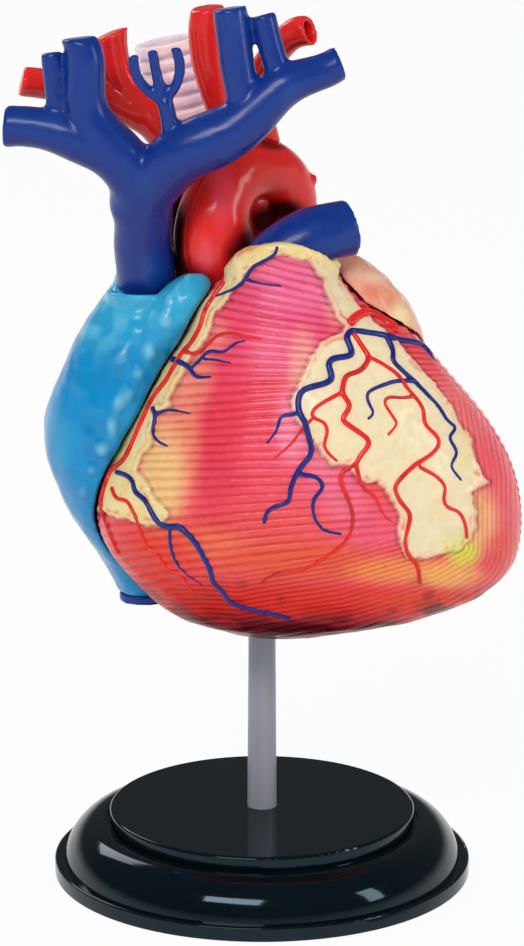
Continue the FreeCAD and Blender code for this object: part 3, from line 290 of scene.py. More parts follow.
# ------------------------------------------------------------------ materials
class Nodes:
    """The node tree of a material or world, with short calls."""

    def __init__(self, owner):
        owner.use_nodes = True
        self.owner = owner
        self.tree = owner.node_tree
        self.shader = self.tree.nodes.get("Principled BSDF")

    def add(self, kind, **settings):
        node = self.tree.nodes.new("ShaderNode" + kind)
        for key, value in settings.items():
            if hasattr(node, key):
                setattr(node, key, value)
            else:
                node.inputs[key.replace("_", " ")].default_value = value
        return node

    def link(self, out, into):
        self.tree.links.new(out, into)

    def noise(self, scale, detail=3.0, rough=0.5, squeeze=(1, 1, 1)):
        """Noise at scale lumps in a metre of the object."""
        place = self.add("TexCoord")
        fit = self.add("Mapping")
        fit.inputs["Scale"].default_value = squeeze
        node = self.add("TexNoise", Scale=scale, Detail=detail, Roughness=rough)
        self.link(place.outputs["Object"], fit.inputs["Vector"])
        self.link(fit.outputs["Vector"], node.inputs["Vector"])
        return node.outputs["Fac"]

    def span(self, value, low, high, to_low, to_high):
        node = self.add("MapRange")
        for key, number in (
            ("From Min", low), ("From Max", high), ("To Min", to_low), ("To Max", to_high)
        ):
            node.inputs[key].default_value = number
        self.link(value, node.inputs["Value"])
        return node.outputs["Result"]

    def sum(self, kind, *values):
        node = self.add("Math", operation=kind)
        for i, value in enumerate(values):
            if isinstance(value, (int, float)):
                node.inputs[i].default_value = value
            else:
                self.link(value, node.inputs[i])
        return node.outputs[0]

    def tint(self, base, value, low, high):
        """base made darker or lighter by a value."""
        node = self.add("MixRGB", blend_type="MULTIPLY")
        node.inputs["Fac"].default_value = 1
        self.link(base, node.inputs["Color1"])
        self.link(self.span(value, 0.3, 0.7, low, high), node.inputs["Color2"])
        return node.outputs["Color"]

    def bump(self, value, strength, distance):
        node = self.add("Bump", Strength=strength, Distance=distance)
        self.link(value, node.inputs["Height"])
        self.link(node.outputs["Normal"], self.shader.inputs["Normal"])


def new_material(name):
    return Nodes(bpy.data.materials.new(name))


def fibre_grooves(m):
    """1 in the grooves between fibres, from two sets of lines and their blend."""
    lines = m.add("Attribute", attribute_name="fibres")
    parts = m.add("SeparateColor")
    m.link(lines.outputs["Color"], parts.inputs["Color"])
    waves = []
    for channel in ("Red", "Green"):
        turned = m.sum("MULTIPLY", parts.outputs[channel], 2 * math.pi)
        waves.append(m.sum("COSINE", turned))
    apart = m.sum("SUBTRACT", waves[1], waves[0])
    wave = m.sum("ADD", waves[0], m.sum("MULTIPLY", apart, parts.outputs["Blue"]))
    return m.sum("MULTIPLY", m.span(wave, -0.95, 0.1, 1, 0), lines.outputs["Alpha"])


def painted_plastic(name, rough=(0.22, 0.34), coat=0.15, speck=(0.94, 1.05), bump=0.15, fibres=0.0):
    """Brush-painted glossy plastic whose colour, and fibre lines, are stored on the mesh."""
    m = new_material(name)
    layer = m.add("Attribute", attribute_name="paint")
    tinted = m.tint(layer.outputs["Color"], m.noise(900, 4), *speck)
    if fibres:
        groove = fibre_grooves(m)
        dark = m.add("MixRGB", blend_type="MIX")
        deeper = m.add("Gamma", Gamma=1.9)
        m.link(tinted, deeper.inputs["Color"])
        m.link(m.span(groove, 0, 1, 0, fibres), dark.inputs["Fac"])
        m.link(tinted, dark.inputs["Color1"])
        m.link(deeper.outputs["Color"], dark.inputs["Color2"])
        tinted = dark.outputs["Color"]
        m.bump(m.span(groove, 0, 1, 1, 0), 0.7, 0.00012)
    else:
        m.bump(m.noise(1400, 3), bump, 0.00005)
    m.link(tinted, m.shader.inputs["Base Color"])
    gloss = layer.outputs["Alpha"]
    m.link(m.span(gloss, 0, 1, 0, 0.3), m.shader.inputs["Specular IOR Level"])
    m.link(m.span(gloss, 0, 1, 0, coat), m.shader.inputs["Coat Weight"])
    m.link(m.span(m.noise(350, 3), 0.3, 0.7, *rough), m.shader.inputs["Roughness"])
    m.shader.inputs["Coat Roughness"].default_value = 0.1
    return m.owner


wall_paint = painted_plastic("wall_paint", fibres=0.85)
atrium_paint = painted_plastic("atrium_paint", rough=(0.18, 0.28), coat=0.15)
auricle_paint = painted_plastic("auricle_paint", rough=(0.24, 0.34), coat=0.2)
vein_paint = painted_plastic("vein_paint", rough=(0.24, 0.34), coat=0.1, speck=(0.95, 1.04))
artery_paint = painted_plastic("artery_paint", rough=(0.2, 0.3), coat=0.2, speck=(0.95, 1.04))
trachea_paint = painted_plastic("trachea_paint", rough=(0.35, 0.5), coat=0.15)
inside_paint = painted_plastic("inside_paint", rough=(0.3, 0.45), coat=0.2)
valve_paint = painted_plastic("valve_paint", rough=(0.3, 0.45), coat=0.2)


# ------------------------------------------------------------------ stand and rod
def stand_plastic():
    m = new_material("stand_black")
    base = m.add("RGB")
    base.outputs[0].default_value = (*linear(5, 16, 21), 1)
    m.link(m.tint(base.outputs[0], m.noise(60, 3), 0.9, 1.1), m.shader.inputs["Base Color"])
    m.link(m.span(m.noise(180, 4), 0.3, 0.7, 0.06, 0.11), m.shader.inputs["Roughness"])
    m.shader.inputs["Specular IOR Level"].default_value = 0.35
    m.shader.inputs["Specular Tint"].default_value = (0.6, 0.84, 1.0, 1)
    m.bump(m.noise(500, 2), 0.05, 0.00004)
    return m.owner


def rod_plastic():
    m = new_material("rod_grey")
    base = m.add("RGB")
    base.outputs[0].default_value = (*linear(148, 149, 160), 1)
    m.link(
        m.tint(base.outputs[0], m.noise(500, 3, squeeze=(1, 1, 0.06)), 0.92, 1.06),
        m.shader.inputs["Base Color"],
    )
    m.link(m.span(m.noise(300, 3), 0.3, 0.7, 0.28, 0.4), m.shader.inputs["Roughness"])
    m.bump(m.noise(900, 3, squeeze=(1, 1, 0.05)), 0.1, 0.00003)
    return m.owner


def finish_node(node, material):
    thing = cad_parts[node]
    if not thing.data.materials:
        thing.data.materials.append(material)
    for i in range(len(thing.material_slots)):
        thing.material_slots[i].link = "OBJECT"
        thing.material_slots[i].material = material


# Heights in mm: the CAD flange's top, the one drawn, the dome's top, and past the whole stand
FLANGE_TOP, LEDGE_TOP, LIP_TOP, ABOVE = 3.2, 2.1, 7.6, 100
SHARP_TURN = math.radians(28)  # faces that meet at more than this show an edge
LEVEL = 0.9995  # up part of the normal, from which a face counts as flat


def dress_stand():
    """The stand with its dome drawn down to a thin flange."""
    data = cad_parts["stand_base"].data
    co = points(data) / MM
    z = co[:, 2]
    co[:, 2] = np.interp(z, [0, FLANGE_TOP, LIP_TOP, ABOVE], [0, LEDGE_TOP, LIP_TOP, ABOVE])
    mesh = bpy.data.meshes.new("stand_painted")
    mesh.from_pydata(co.tolist(), [], [tuple(f.vertices) for f in data.polygons])
    bm = bmesh.new()
    bm.from_mesh(mesh)
    bmesh.ops.remove_doubles(bm, verts=bm.verts, dist=0.001)
    bm.to_mesh(mesh)
    bm.free()
    stand = piece("stand_painted", mesh, "stand", stand_plastic(), ("stand_base",))
    stand.data.set_sharp_from_angle(angle=SHARP_TURN)
    for face in stand.data.polygons:
        face.use_smooth = abs(face.normal.z) < LEVEL


dress_stand()
finish_node("support_rod", rod_plastic())

# ------------------------------------------------------------------ ventricle walls
HEART_MIDDLE = np.array([6.0, -5.0, 60.0])
# Outline, in the picture, of the cream fat over the left ventricle
FAT_PATCH = [
    (336, 270), (320, 262), (306, 250), (312, 264), (322, 280), (326, 296), (334, 306), (336, 318),
    (344, 326), (336, 335), (322, 345), (311, 357), (303, 376),
    (295, 390), (290, 402), (296, 415), (303, 425), (313, 440), (322, 455), (331, 464),
    (347, 465), (356, 476), (367, 484), (378, 481), (383, 490), (394, 501), (397, 512),
    (397, 539), (408, 559), (433, 557), (458, 551), (472, 539), (477, 512), (472, 492),
    (488, 481), (477, 465), (472, 440), (461, 426), (452, 407), (439, 390), (425, 373),
    (411, 357), (394, 340), (380, 326), (362, 310), (350, 296),
]
# Outline of the fat in the groove beside the right atrium
GROOVE_FAT = [
    (228, 260), (244, 262), (233, 276), (231, 290), (228, 301), (214, 315), (206, 337),
    (195, 351), (184, 368), (178, 382), (170, 398), (173, 405), (156, 412), (153, 428),
    (150, 445), (140, 456), (137, 470), (145, 484), (156, 500), (169, 517), (160, 527),
    (140, 522), (118, 518), (100, 512), (80, 520), (60, 500), (110, 380), (190, 270),
]
# Outline of the yellow rim along the top edge
TOP_RIM = [
    (222, 290), (222, 262), (250, 244), (275, 230), (305, 230), (330, 245), (345, 275),
    (338, 296), (328, 276), (311, 262), (283, 254), (262, 260), (245, 274), (231, 292),
]
# Airbrushed colours of the muscle, with a painted highlight and painted shade among them: place and reach in
# the picture, colour, strength
MUSCLE_STROKES_AND_LIGHT = [
    ((290, 300), (80, 60), (232, 84, 132), 0.9),
    # The pale pinks at (300, 285), (285, 350) and (292, 425) are the muscle's paint with a painted highlight
    # down its middle
    ((300, 285), (50, 40), (240, 120, 160), 0.8),
    ((250, 360), (60, 50), (236, 76, 112), 0.8),
    ((285, 350), (45, 30), (244, 124, 160), 0.6),
    ((240, 450), (60, 70), (234, 52, 80), 0.9),
    ((270, 455), (45, 60), (240, 84, 110), 0.6),
    ((215, 450), (30, 90), (228, 60, 86), 0.8),
    ((292, 425), (20, 44), (240, 138, 168), 0.8),
    ((176, 440), (27, 84), (240, 150, 118), 0.85),
    ((160, 478), (29, 62), (240, 202, 140), 0.9),
    ((303, 368), (16, 44), (240, 176, 160), 0.7),
    ((336, 300), (14, 30), (244, 172, 164), 0.6),
    ((192, 375), (24, 38), (240, 150, 130), 0.75),
    ((212, 335), (20, 24), (238, 140, 130), 0.7),
    ((330, 480), (36, 34), (236, 96, 136), 0.85),
    ((370, 530), (40, 34), (236, 92, 122), 0.85),
    ((240, 530), (80, 26), (230, 72, 74), 0.7),
    ((205, 545), (50, 20), (238, 130, 84), 0.6),
    ((300, 562), (110, 24), (230, 86, 50), 0.85),
    ((150, 560), (60, 44), (230, 56, 34), 0.85),
    ((220, 600), (120, 26), (222, 36, 24), 0.9),
    ((340, 600), (110, 20), (228, 46, 26), 0.85),
    ((400, 570), (60, 16), (244, 152, 82), 0.8),
    ((450, 575), (36, 16), (246, 194, 104), 0.7),
    ((440, 602), (80, 14), (236, 78, 40), 0.8),
    ((500, 470), (34, 90), (240, 92, 106), 0.8),
    ((470, 400), (44, 60), (246, 130, 132), 0.7),
    ((480, 520), (22, 36), (244, 190, 130), 0.8),
    ((512, 560), (30, 40), (236, 74, 60), 0.8),
    ((463, 552), (20, 17), (226, 222, 84), 0.9),
    ((326, 452), (22, 44), (240, 138, 156), 0.6),
    ((346, 500), (26, 30), (240, 122, 146), 0.6),
    # Painted shade along the underside
    ((300, 640), (240, 26), (104, 8, 18), 0.95),
]
# Centre line, in the picture, that the finer fibres of the right side and the foot run along
FINE_RUN = [
    (447, 400), (462, 480), (462, 548), (430, 566), (340, 592), (240, 608), (120, 604), (-60, 590),
]
WIDE_PITCH, FINE_PITCH = 8.6, 4.6  # picture pixels from one fibre to the next
RIB = 0.12  # mm that a fibre stands up
REAR_PITCH = 1.25  # mm from one fibre to the next on the rear wall


def muscle_colour_and_light(u, v):
    # Muscle colour from the strokes, with their painted highlight and painted shade
    colour = plain(len(u), (238, 88, 96))
    for (a, b), (wide, high), tone, strength in MUSCLE_STROKES_AND_LIGHT:
        reach = np.hypot((u - a) / wide, (v - b) / high)
        colour = mix(colour, linear(*tone), strength * (1 - smooth(0.35, 1.25, reach)))
    return colour


def grain_lines(u, v):
    """Turns of the wide and the fine fibre lines over the front, and where the fine ones rule."""
    lean = np.interp(v, [250, 300, 340, 400, 470, 530], [0.3, 0.22, 0.12, -0.08, 0.0, -0.1])
    wide = (v - lean * (u - 255)) / WIDE_PITCH
    run, _ = to_line(u, v, FINE_RUN)
    fine = run / FINE_PITCH
    right = smooth(0.0, 1.0, (u - 440 - np.clip(v - 545, 0, 60) * 0.6) / 26)
    foot = smooth(0.0, 1.0, (v - 556 + 0.22 * (u - 255)) / 22)
    return wide, fine, np.maximum(right, foot)


def outer_skin(co, n):
    """1 on the outside of a wall, 0 in its hollow and on its flat face."""
    rel = co - HEART_MIDDLE
    facing = np.sum(rel * n, axis=1) / np.linalg.norm(rel, axis=1)
    lip = smooth(84, 87, co[:, 2]) * smooth(0.1, 0.4, np.maximum(-n[:, 1], n[:, 2]))
    return np.maximum(smooth(0.18, 0.4, facing), lip)


def front_skin(co, n):
    """Height in mm, colour with its painted shade and highlight, place and fibre turns of the front wall's
    skin.
    """
    u, v = picture(co)
    skin = outer_skin(co, n)
    ragged = 2.6 * grain(co, 1.6, 3) + 1.6 * grain(co, 0.7, 4)
    patch = inside(u, v, FAT_PATCH) + ragged
    groove = np.maximum(inside(u, v, GROOVE_FAT), inside(u, v, TOP_RIM)) + ragged * 0.8
    fat_edge = np.maximum(patch, groove)
    fat = smooth(-1.0, 1.2, fat_edge)
    brim = np.exp(-(((fat_edge - 2.5) / 2.2) ** 2))
    ditch = np.exp(-(((fat_edge + 2.0) / 1.6) ** 2))
    wide, fine, turn = grain_lines(u, v)
    broken = 0.75 + 0.25 * grain(co * np.array([0.25, 1, 1]), 1.4, 5)
    lumps = 0.16 * grain(co, 2.6, 6) + 0.07 * grain(co, 1.1, 7)
    low = 0.22 * np.maximum(grain(co, 3.4, 11), 0) * smooth(520, 560, v) * (1 - fat)
    facing = smooth(0.25, 0.6, -n[:, 1])
    ribs = RIB * broken * np.cos(2 * np.pi * wide) * (1 - turn) * facing
    height = (1 - fat) * ribs + fat * (0.1 + lumps) + 0.16 * brim - 0.12 * ditch + low
    colour = muscle_colour_and_light(u, v)
    cream = plain(len(u), (238, 220, 180))
    cream = mix(cream, linear(238, 214, 150), smooth(0.1, 0.9, grain(co, 3.1, 8)) * 0.7)
    yellow = plain(len(u), (238, 218, 158))
    yellow = mix(yellow, linear(232, 200, 128), smooth(-0.2, 0.8, grain(co, 2.4, 9)) * 0.6)
    flesh = mix(cream, linear(240, 166, 138), (1 - smooth(0, 8, patch)) * 0.4)
    fat_colour = np.where((patch > groove)[:, None], flesh, yellow)
    green = 1 - smooth(0.3, 1.2, np.hypot((u - 463) / 26, (v - 548) / 20))
    fat_colour = mix(fat_colour, linear(222, 222, 112), green * 0.7)
    dashes = np.exp(-(((fat_edge - 4.5) / 1.3) ** 2)) * smooth(0.0, 0.4, grain(co, 0.9, 10))
    fat_colour = mix(fat_colour, linear(232, 96, 84), dashes * 0.75)
    # Painted shade in the ditch along the fat's edge
    colour = colour * (1 - 0.3 * ditch)[:, None]
    spots = smooth(0.35, 0.8, -grain(co, 2.6, 12)) * smooth(560, 600, v)
    colour = mix(colour, linear(150, 14, 26), spots * 0.6)
    # Painted shade on the downward faces near the bottom
    under_shade = smooth(0.4, 0.8, -n[:, 2]) * smooth(560, 606, v) * smooth(-0.3, 0.3, grain(co, 2.2, 14))
    colour = mix(colour, linear(70, 12, 30), under_shade * 0.8)
    colour = colour + (fat_colour - colour) * fat[:, None]
    strength = (1 - fat) * broken * skin * smooth(0.0, 0.3, -n[:, 1])
    return height, colour, skin, np.column_stack([wide, fine, turn, strength])


def dress_wall(node, name, body, skin_of, voxel):
    mesh = remeshed(node, voxel)
    relax(mesh, 3)
    co, n = points(mesh), normals(mesh)
    height, colour, skin, fibres = skin_of(co, n)
    lining = 0.12 * grain(co, 1.8, 21) + 0.1 * grain(co, 4.0, 22)
    flat = smooth(0.9, 0.99, np.abs(n[:, 1])) * (1 - skin)
    deep = mix(plain(len(co), (206, 84, 84)), linear(176, 52, 58), smooth(-0.5, 0.6, grain(co, 2.2, 23)))
    deep = mix(deep, linear(214, 110, 100), flat)
    set_points(mesh, co + n * (height * skin + lining * (1 - skin) * (1 - flat))[:, None])
    paint(mesh, mix(deep, colour, skin), 1 - 0.8 * skin * smooth(0.2, 0.7, -n[:, 2]))
    store(mesh, "fibres", fibres)
    return piece(name, mesh, body, wall_paint, (node,))


def rear_skin(co, n):
    """As front_skin, for the rear wall, whose fat lies in its grooves."""
    u, v = picture(co * np.array([1, 0, 1]) + np.array([0, -12.0, 0]))
    skin = outer_skin(co, n)
    z = co[:, 2]
    level = z / REAR_PITCH + 0.12 * co[:, 1] + 0.2 * np.sin(co[:, 0] / 7)
    groove = np.abs(z - 66 - 0.22 * (co[:, 0] - 6)) / 4.2 + 0.5 * grain(co, 2.0, 31)
    middle = np.abs(co[:, 0] - 3 - 0.18 * (66 - z)) / 2.6 + 0.5 * grain(co, 1.8, 32)
    behind = smooth(2, 9, co[:, 1])
    strip = (1 - smooth(0.75, 1.05, middle)) * (z < 66)
    fat = np.maximum(1 - smooth(0.75, 1.05, groove), strip) * behind
    broken = 0.75 + 0.25 * grain(co * np.array([0.25, 1, 1]), 1.4, 33)
    lumps = 0.16 * grain(co, 2.6, 34) + 0.07 * grain(co, 1.1, 35)
    height = (1 - fat) * RIB * broken * np.cos(2 * np.pi * level) + fat * (0.22 + lumps)
    base = plain(len(co), (232, 70, 80))
    base = mix(base, linear(242, 116, 118), smooth(4, 30, co[:, 0]) * smooth(52, 60, z))
    base = mix(base, linear(216, 38, 30), 1 - smooth(40, 50, z))
    # Darkest at the very bottom: painted shade under the foot
    base = mix(base, linear(136, 18, 26), 1 - smooth(37.5, 40.5, z))
    front = smooth(-4.5, 4, co[:, 1])
    base = muscle_colour_and_light(u, v) * (1 - front)[:, None] + base * front[:, None]
    yellow = plain(len(co), (246, 228, 158))
    yellow = mix(yellow, linear(236, 206, 122), smooth(-0.2, 0.8, grain(co, 2.4, 36)))
    colour = base + (yellow - base) * fat[:, None]
    strength = (1 - fat) * broken * skin
    return height, colour, skin, np.column_stack([level, level, np.zeros(len(co)), strength])


front_wall = dress_wall("front_heart_wall", "front_wall_painted", "front_wall", front_skin, FRONT_CELL)
rear_wall = dress_wall("rear_heart_wall", "rear_wall_painted", "heart", rear_skin, REAR_CELL)

# ------------------------------------------------------------------ coronary vessels
# Radii in mm at the start and the end, and picture points on the front wall
FRONT_ARTERIES = [
    (0.42, 0.46, [(224, 283), (211, 301), (204, 314), (201, 326), (191, 344), (184, 351), (176, 364),
                  (166, 381), (154, 397), (144, 417), (133, 442), (124, 460), (112, 470), (107, 481)]),
    (0.46, 0.34, [(107, 481), (102.5, 496), (102, 510), (107, 524), (112, 538), (118, 552)]),
    (0.34, 0.16, [(112, 488), (116.5, 499), (126, 500), (132, 509), (137.5, 521), (142, 535),
                  (149, 548), (159, 556), (167, 568), (181, 576), (188, 586), (195, 594), (203, 596)]),
    (0.34, 0.16, [(184, 351), (192, 354), (202, 351), (211, 341), (221, 334), (232, 333), (245, 336),
                  (262, 338)]),
    (0.5, 0.5, [(342.5, 276), (346, 286), (359, 301), (365, 310)]),
    (0.66, 0.7, [(350, 323), (357, 316), (365, 313), (384, 318), (395, 331)]),
    (0.4, 0.36, [(354, 334), (365, 351), (369, 357), (365, 366), (357.5, 372), (346, 376), (342.5, 389),
                 (342.5, 394), (350, 406), (342.5, 419), (350, 426), (369, 441), (361, 455), (356, 464)]),
    (0.34, 0.16, [(356, 464), (342.5, 472), (341, 482), (349, 502), (353, 517), (349, 536), (337, 549),
                  (319, 561), (302, 570), (277, 573), (260, 583)]),
    (0.34, 0.14, [(356, 464), (359, 477), (364, 489), (374.5, 496), (379.5, 507), (385, 517), (393, 522.5)]),
    (0.3, 0.22, [(341, 393), (327.5, 400), (314, 409), (312.5, 417), (324, 422.5), (327.5, 432),
                 (324, 445), (329, 454), (337, 461)]),
    (0.26, 0.14, [(311, 420), (301, 430), (292, 443), (275, 458)]),
    (0.3, 0.32, [(369, 357), (386, 366), (399, 376), (406, 387), (414, 396), (423, 409), (425, 424),
                 (438, 437.5), (438, 447), (429, 456), (416, 464)]),
    (0.34, 0.3, [(416, 464), (405, 474), (395, 487), (400, 501), (410, 514), (408, 527.5), (405, 541),
                 (408, 554.5), (417, 565), (420, 583)]),
    (0.28, 0.26, [(420, 467), (437, 477), (445, 487), (443.5, 499), (447, 507), (459, 512), (465, 524),
                  (467, 538)]),
    (0.28, 0.2, [(414, 396), (402.5, 398), (389, 397), (384, 402), (393, 417), (397, 424), (388, 435)]),
]
FRONT_VEINS = [
    (0.46, 0.22, [(172.5, 359), (184, 364), (191, 369), (194, 376), (199, 377.5), (210.6, 377)]),
    (0.3, 0.18, [(192, 368), (201, 359), (209, 351), (224, 352), (235.5, 343), (245, 341)]),
    (0.22, 0.14, [(204, 359), (216, 360), (230.5, 363)]),
    (0.4, 0.18, [(153, 408), (156, 416), (153, 427), (154, 437), (159, 442), (167.5, 446)]),
    (0.3, 0.14, [(156, 414), (167.5, 410), (179, 411), (191, 414)]),
    (0.36, 0.44, [(116.5, 472), (126, 475), (133, 481), (135, 492), (144.5, 499), (150, 509), (156, 520),
                  (164, 526), (178, 526)]),
    (0.44, 0.34, [(178, 526), (187, 533), (196.5, 544), (203.5, 556.5), (210.5, 570), (213, 582),
                  (223, 591.5), (229, 601), (241, 606), (255, 610), (269, 613), (290, 618)]),
    (0.32, 0.12, [(170, 530), (170, 541), (173, 555), (178, 565), (189, 576), (202, 584.5)]),
    (0.24, 0.28, [(277, 247), (276, 253), (267.5, 259), (252.5, 267), (247, 276)]),
    (0.28, 0.22, [(247, 276), (241, 284), (232, 290), (217, 296)]),
    (0.24, 0.14, [(247, 280), (264, 284), (281, 286)]),
    (0.5, 0.46, [(443, 368), (434, 355), (419, 344), (399, 340), (387.5, 336), (361, 331.6), (352, 330.6)]),
    (0.46, 0.44, [(352, 330.6), (346, 336), (350, 346), (352, 355), (342.5, 357), (331, 359), (328, 364),
                  (332, 377.5), (326, 383), (305, 389), (299, 396), (299, 411), (305, 422.5)]),
    (0.44, 0.36, [(305, 422.5), (310, 441), (311, 454), (300, 468), (295, 477)]),
    (0.36, 0.28, [(295, 477), (290, 490.5), (288.6, 502), (273.5, 507), (267, 512), (264, 522.5)]),
    (0.32, 0.2, [(299, 474), (316, 477), (323, 487), (314, 499), (313, 511), (317, 522.5), (326, 531),
                 (341, 534)]),
    (0.3, 0.18, [(299, 413), (281, 417), (277, 430), (267, 443)]),
    (0.42, 0.2, [(387.5, 338), (393, 351), (393, 361), (406, 374), (414, 381), (425, 392.5), (438, 406),
                 (447.5, 421), (456, 428), (449, 437.5), (457, 452.5), (451, 466), (461, 480)]),
    (0.34, 0.2, [(414, 381), (397, 381), (378, 387), (367, 394), (370, 406), (374, 413), (368, 419)]),
]
# The same on the back, with points across (x) and up (z) in mm
REAR_ARTERIES = [
    (0.5, 0.42, [(-16, 62), (-10, 64.5), (-4, 66), (2, 66.4), (6, 64.6)]),
    (0.42, 0.2, [(6, 64.6), (7.4, 59), (6.8, 53), (8.6, 47), (8.2, 42)]),
    (0.3, 0.14, [(7.4, 58), (12, 55), (15, 50.5), (20, 48), (22, 44.5)]),
    (0.28, 0.14, [(7, 52), (2, 50), (-3, 46), (-6, 45)]),
    (0.46, 0.3, [(29, 66), (24, 62.6), (19, 62.2), (14, 63)]),
    (0.32, 0.14, [(24, 62.6), (25, 57), (28.6, 53), (28, 48)]),
]
REAR_VEINS = [
    (0.6, 0.8, [(32, 66), (27, 64.4), (20, 65.2), (13, 66.4), (6, 68), (-1, 68.6)]),
    (0.46, 0.2, [(4, 67.6), (4.4, 61), (3.4, 55), (4.6, 49), (5.2, 43)]),
    (0.36, 0.16, [(16, 65.6), (17, 60), (15.6, 55.4), (18, 51)]),
    (0.34, 0.16, [(-10, 66.4), (-9, 60), (-12, 55), (-11, 50)]),
]
# Where a front vein runs on over the rear wall at the picture's right edge
EDGE_VEINS = [(0.5, 0.5, [(436, 372), (432, 362), (428, 352), (419, 344), (408, 341)])]


def flowing(route, step):
    """A smooth path through points, with a new point about every step."""
    p = np.array(route, float)
    p = np.vstack([2 * p[0] - p[1], p, 2 * p[-1] - p[-2]])
    path = []
    for a, b, c, d in zip(p[:-3], p[1:-2], p[2:-1], p[3:]):
        count = max(2, int(np.hypot(*(c - b)) / step))
        t = np.linspace(0, 1, count, endpoint=False)[:, None]
        path.append(
            b + (c - a) * t / 2 + (2 * a - 5 * b + 4 * c - d) * t**2 / 2
            + (3 * b - a - 3 * c + d) * t**3 / 2
        )
    return np.vstack(path + [p[-2:-1]])


def from_front(point):
    return Vector(CAMERA), sight(*point)


def from_back(point):
    return Vector((point[0], 60, point[1])), Vector((0, -1, 0))


def small_vessels(name, wall, body, groups, material, colours, seed):
    """Raised vessels along paths on a wall; groups pair the paths with how they are seen."""
    surface = BVHTree.FromPolygons(
        [tuple(c) for c in points(wall.data) / MM], [tuple(f.vertices) for f in wall.data.polygons]
    )
    bm = bmesh.new()
    for routes, seen, step in groups:
        for thick, thin, route in routes:
            hits = [surface.ray_cast(*seen(point))[:2] for point in flowing(route, step)]
            spots, ways = (np.array([hit[k] for hit in hits if hit[0]]) for k in (0, 1))
            lay_tube(bm, spots, ways, np.linspace(thick, thin, len(spots)))
    rough = bpy.data.meshes.new("rough")
    bm.to_mesh(rough)
    bm.free()
    mesh = even_mesh(rough, THIN_CELL)
    relax(mesh, 3)
    co, n = points(mesh), normals(mesh)
    set_points(mesh, co + n * (0.03 + 0.03 * grain(co, 1.0, seed))[:, None])
    main, shade = colours
    shaded = smooth(-0.1, 0.8, grain(co, 2.0, seed + 1)) * 0.5
    paint(mesh, mix(np.tile(main, (len(co), 1)), shade, shaded))
    return piece(name, mesh, body, material)


VEIN_BLUE, VEIN_SHADE, VEIN_SHINE = linear(10, 50, 132), linear(32, 18, 104), linear(26, 74, 150)
ARTERY_RED, ARTERY_SHADE = linear(230, 36, 32), linear(150, 16, 20)
for wall, body, arteries, veins in (
    (front_wall, "front_wall", [(FRONT_ARTERIES, from_front, 2.0)], [(FRONT_VEINS, from_front, 2.0)]),
    (
        rear_wall, "heart",
        [(REAR_ARTERIES, from_back, 0.3)],
        [(REAR_VEINS, from_back, 0.3), (EDGE_VEINS, from_front, 2.0)],
    ),
):
    small_vessels(
        body + "_coronary_arteries", wall, body, arteries, artery_paint,
        (ARTERY_RED, ARTERY_SHADE), 40,
    )
    small_vessels(
        body + "_coronary_veins", wall, body, veins, vein_paint,
        (linear(16, 40, 122), VEIN_SHADE), 44,
    )

# ------------------------------------------------------------------ vessels
RECESS_SHADE = linear(42, 8, 12)  # painted shade in the recesses and between parts
DARK = 100  # painted shade whose red, green and blue add up to less is dull


def meeting(co):
    """How much the meeting of the great veins is kneaded smooth."""
    away = np.linalg.norm(co - np.array([-17.0, -5.0, 99.5]), axis=1)
    return 0.5 * (1 - smooth(6, 11, away))


def dress_vessel(
    node, name, body, material, colours, ease=4, lump=0.06, seed=50, recess=(), reach=3.0, knead=0,
    tubes=(), painted_light=(),
):
    """A painted vessel, with painted shade underneath and within reach mm of the recess nodes, and painted
    shade and painted highlights dabbed on at given places in the picture.
    """
    mesh = remeshed(node, ROUND_CELL, tubes)
    relax(mesh, ease)
    if knead:
        relax(mesh, knead, meeting(points(mesh)))
    co, n = points(mesh), normals(mesh)
    height = lump * grain(co, 3.0, seed) + lump * 0.4 * grain(co, 1.2, seed + 1)
    set_points(mesh, co + n * height[:, None])
    main, shade, shine = colours
    colour = np.tile(main, (len(co), 1))
    # Painted shade on the underside
    colour = mix(colour, shade, smooth(0.1, 0.9, -n[:, 2]) * 0.7)
    colour = mix(colour, shine, smooth(0.2, 0.9, grain(co, 4.0, seed + 2)) * 0.35)
    gloss = np.ones(len(co))
    # Painted shade near the recess nodes, which also makes the paint matte there
    if recess:
        dark = smooth(0.1, 0.8, nearness(co, recess, reach)) * 0.9
        colour = mix(colour, RECESS_SHADE, dark)
        gloss -= dark
    u, v = picture(co)
    ahead = smooth(-0.1, 0.3, -n[:, 1])
    # Painted shade and painted highlights at given places in the picture; the dark ones are matte
    for (a, b), (wide, high), tone, strength in painted_light:
        dab = strength * ahead * (1 - smooth(0.4, 1.3, np.hypot((u - a) / wide, (v - b) / high)))
        colour = mix(colour, linear(*tone), dab)
        gloss *= 1 - dab * (sum(tone) < DARK)
    paint(mesh, colour, gloss)
    return piece(name, mesh, body, material, (node,))


BLUES = (VEIN_BLUE, VEIN_SHADE, VEIN_SHINE)
REDS = (ARTERY_RED, ARTERY_SHADE, linear(236, 66, 62))
for node, body, name, slot, ease, knead in (
    ("superior_vena_cava", "upper_veins", "upper_veins_painted", "vein_blue", 6, 60),
    ("inferior_vena_cava", "right_atrium", "lower_vein_painted", "vein_blue", 2, 0),
    ("pulmonary_trunk", "pulmonary_trunk", "pulmonary_trunk_painted", "pulmonary_blue", 4, 0),
    ("right_pulmonary_artery", "left_atrium", "right_pulmonary_artery_painted", "pulmonary_blue", 3, 0),
):
    dress_vessel(node, name, body, vein_paint, BLUES, ease, knead=knead)

UP, AHEAD = np.array([0.0, 0.0, 1.0]), np.array([0.0, -1.0, 0.0])


def straight_tube(start, end, radius, up=AHEAD, steps=8):
    """Stations of a straight tube for lay_tube."""
    spots = np.linspace(start, end, steps)
    return spots, np.tile(up, (steps, 1)), np.full(steps, radius)


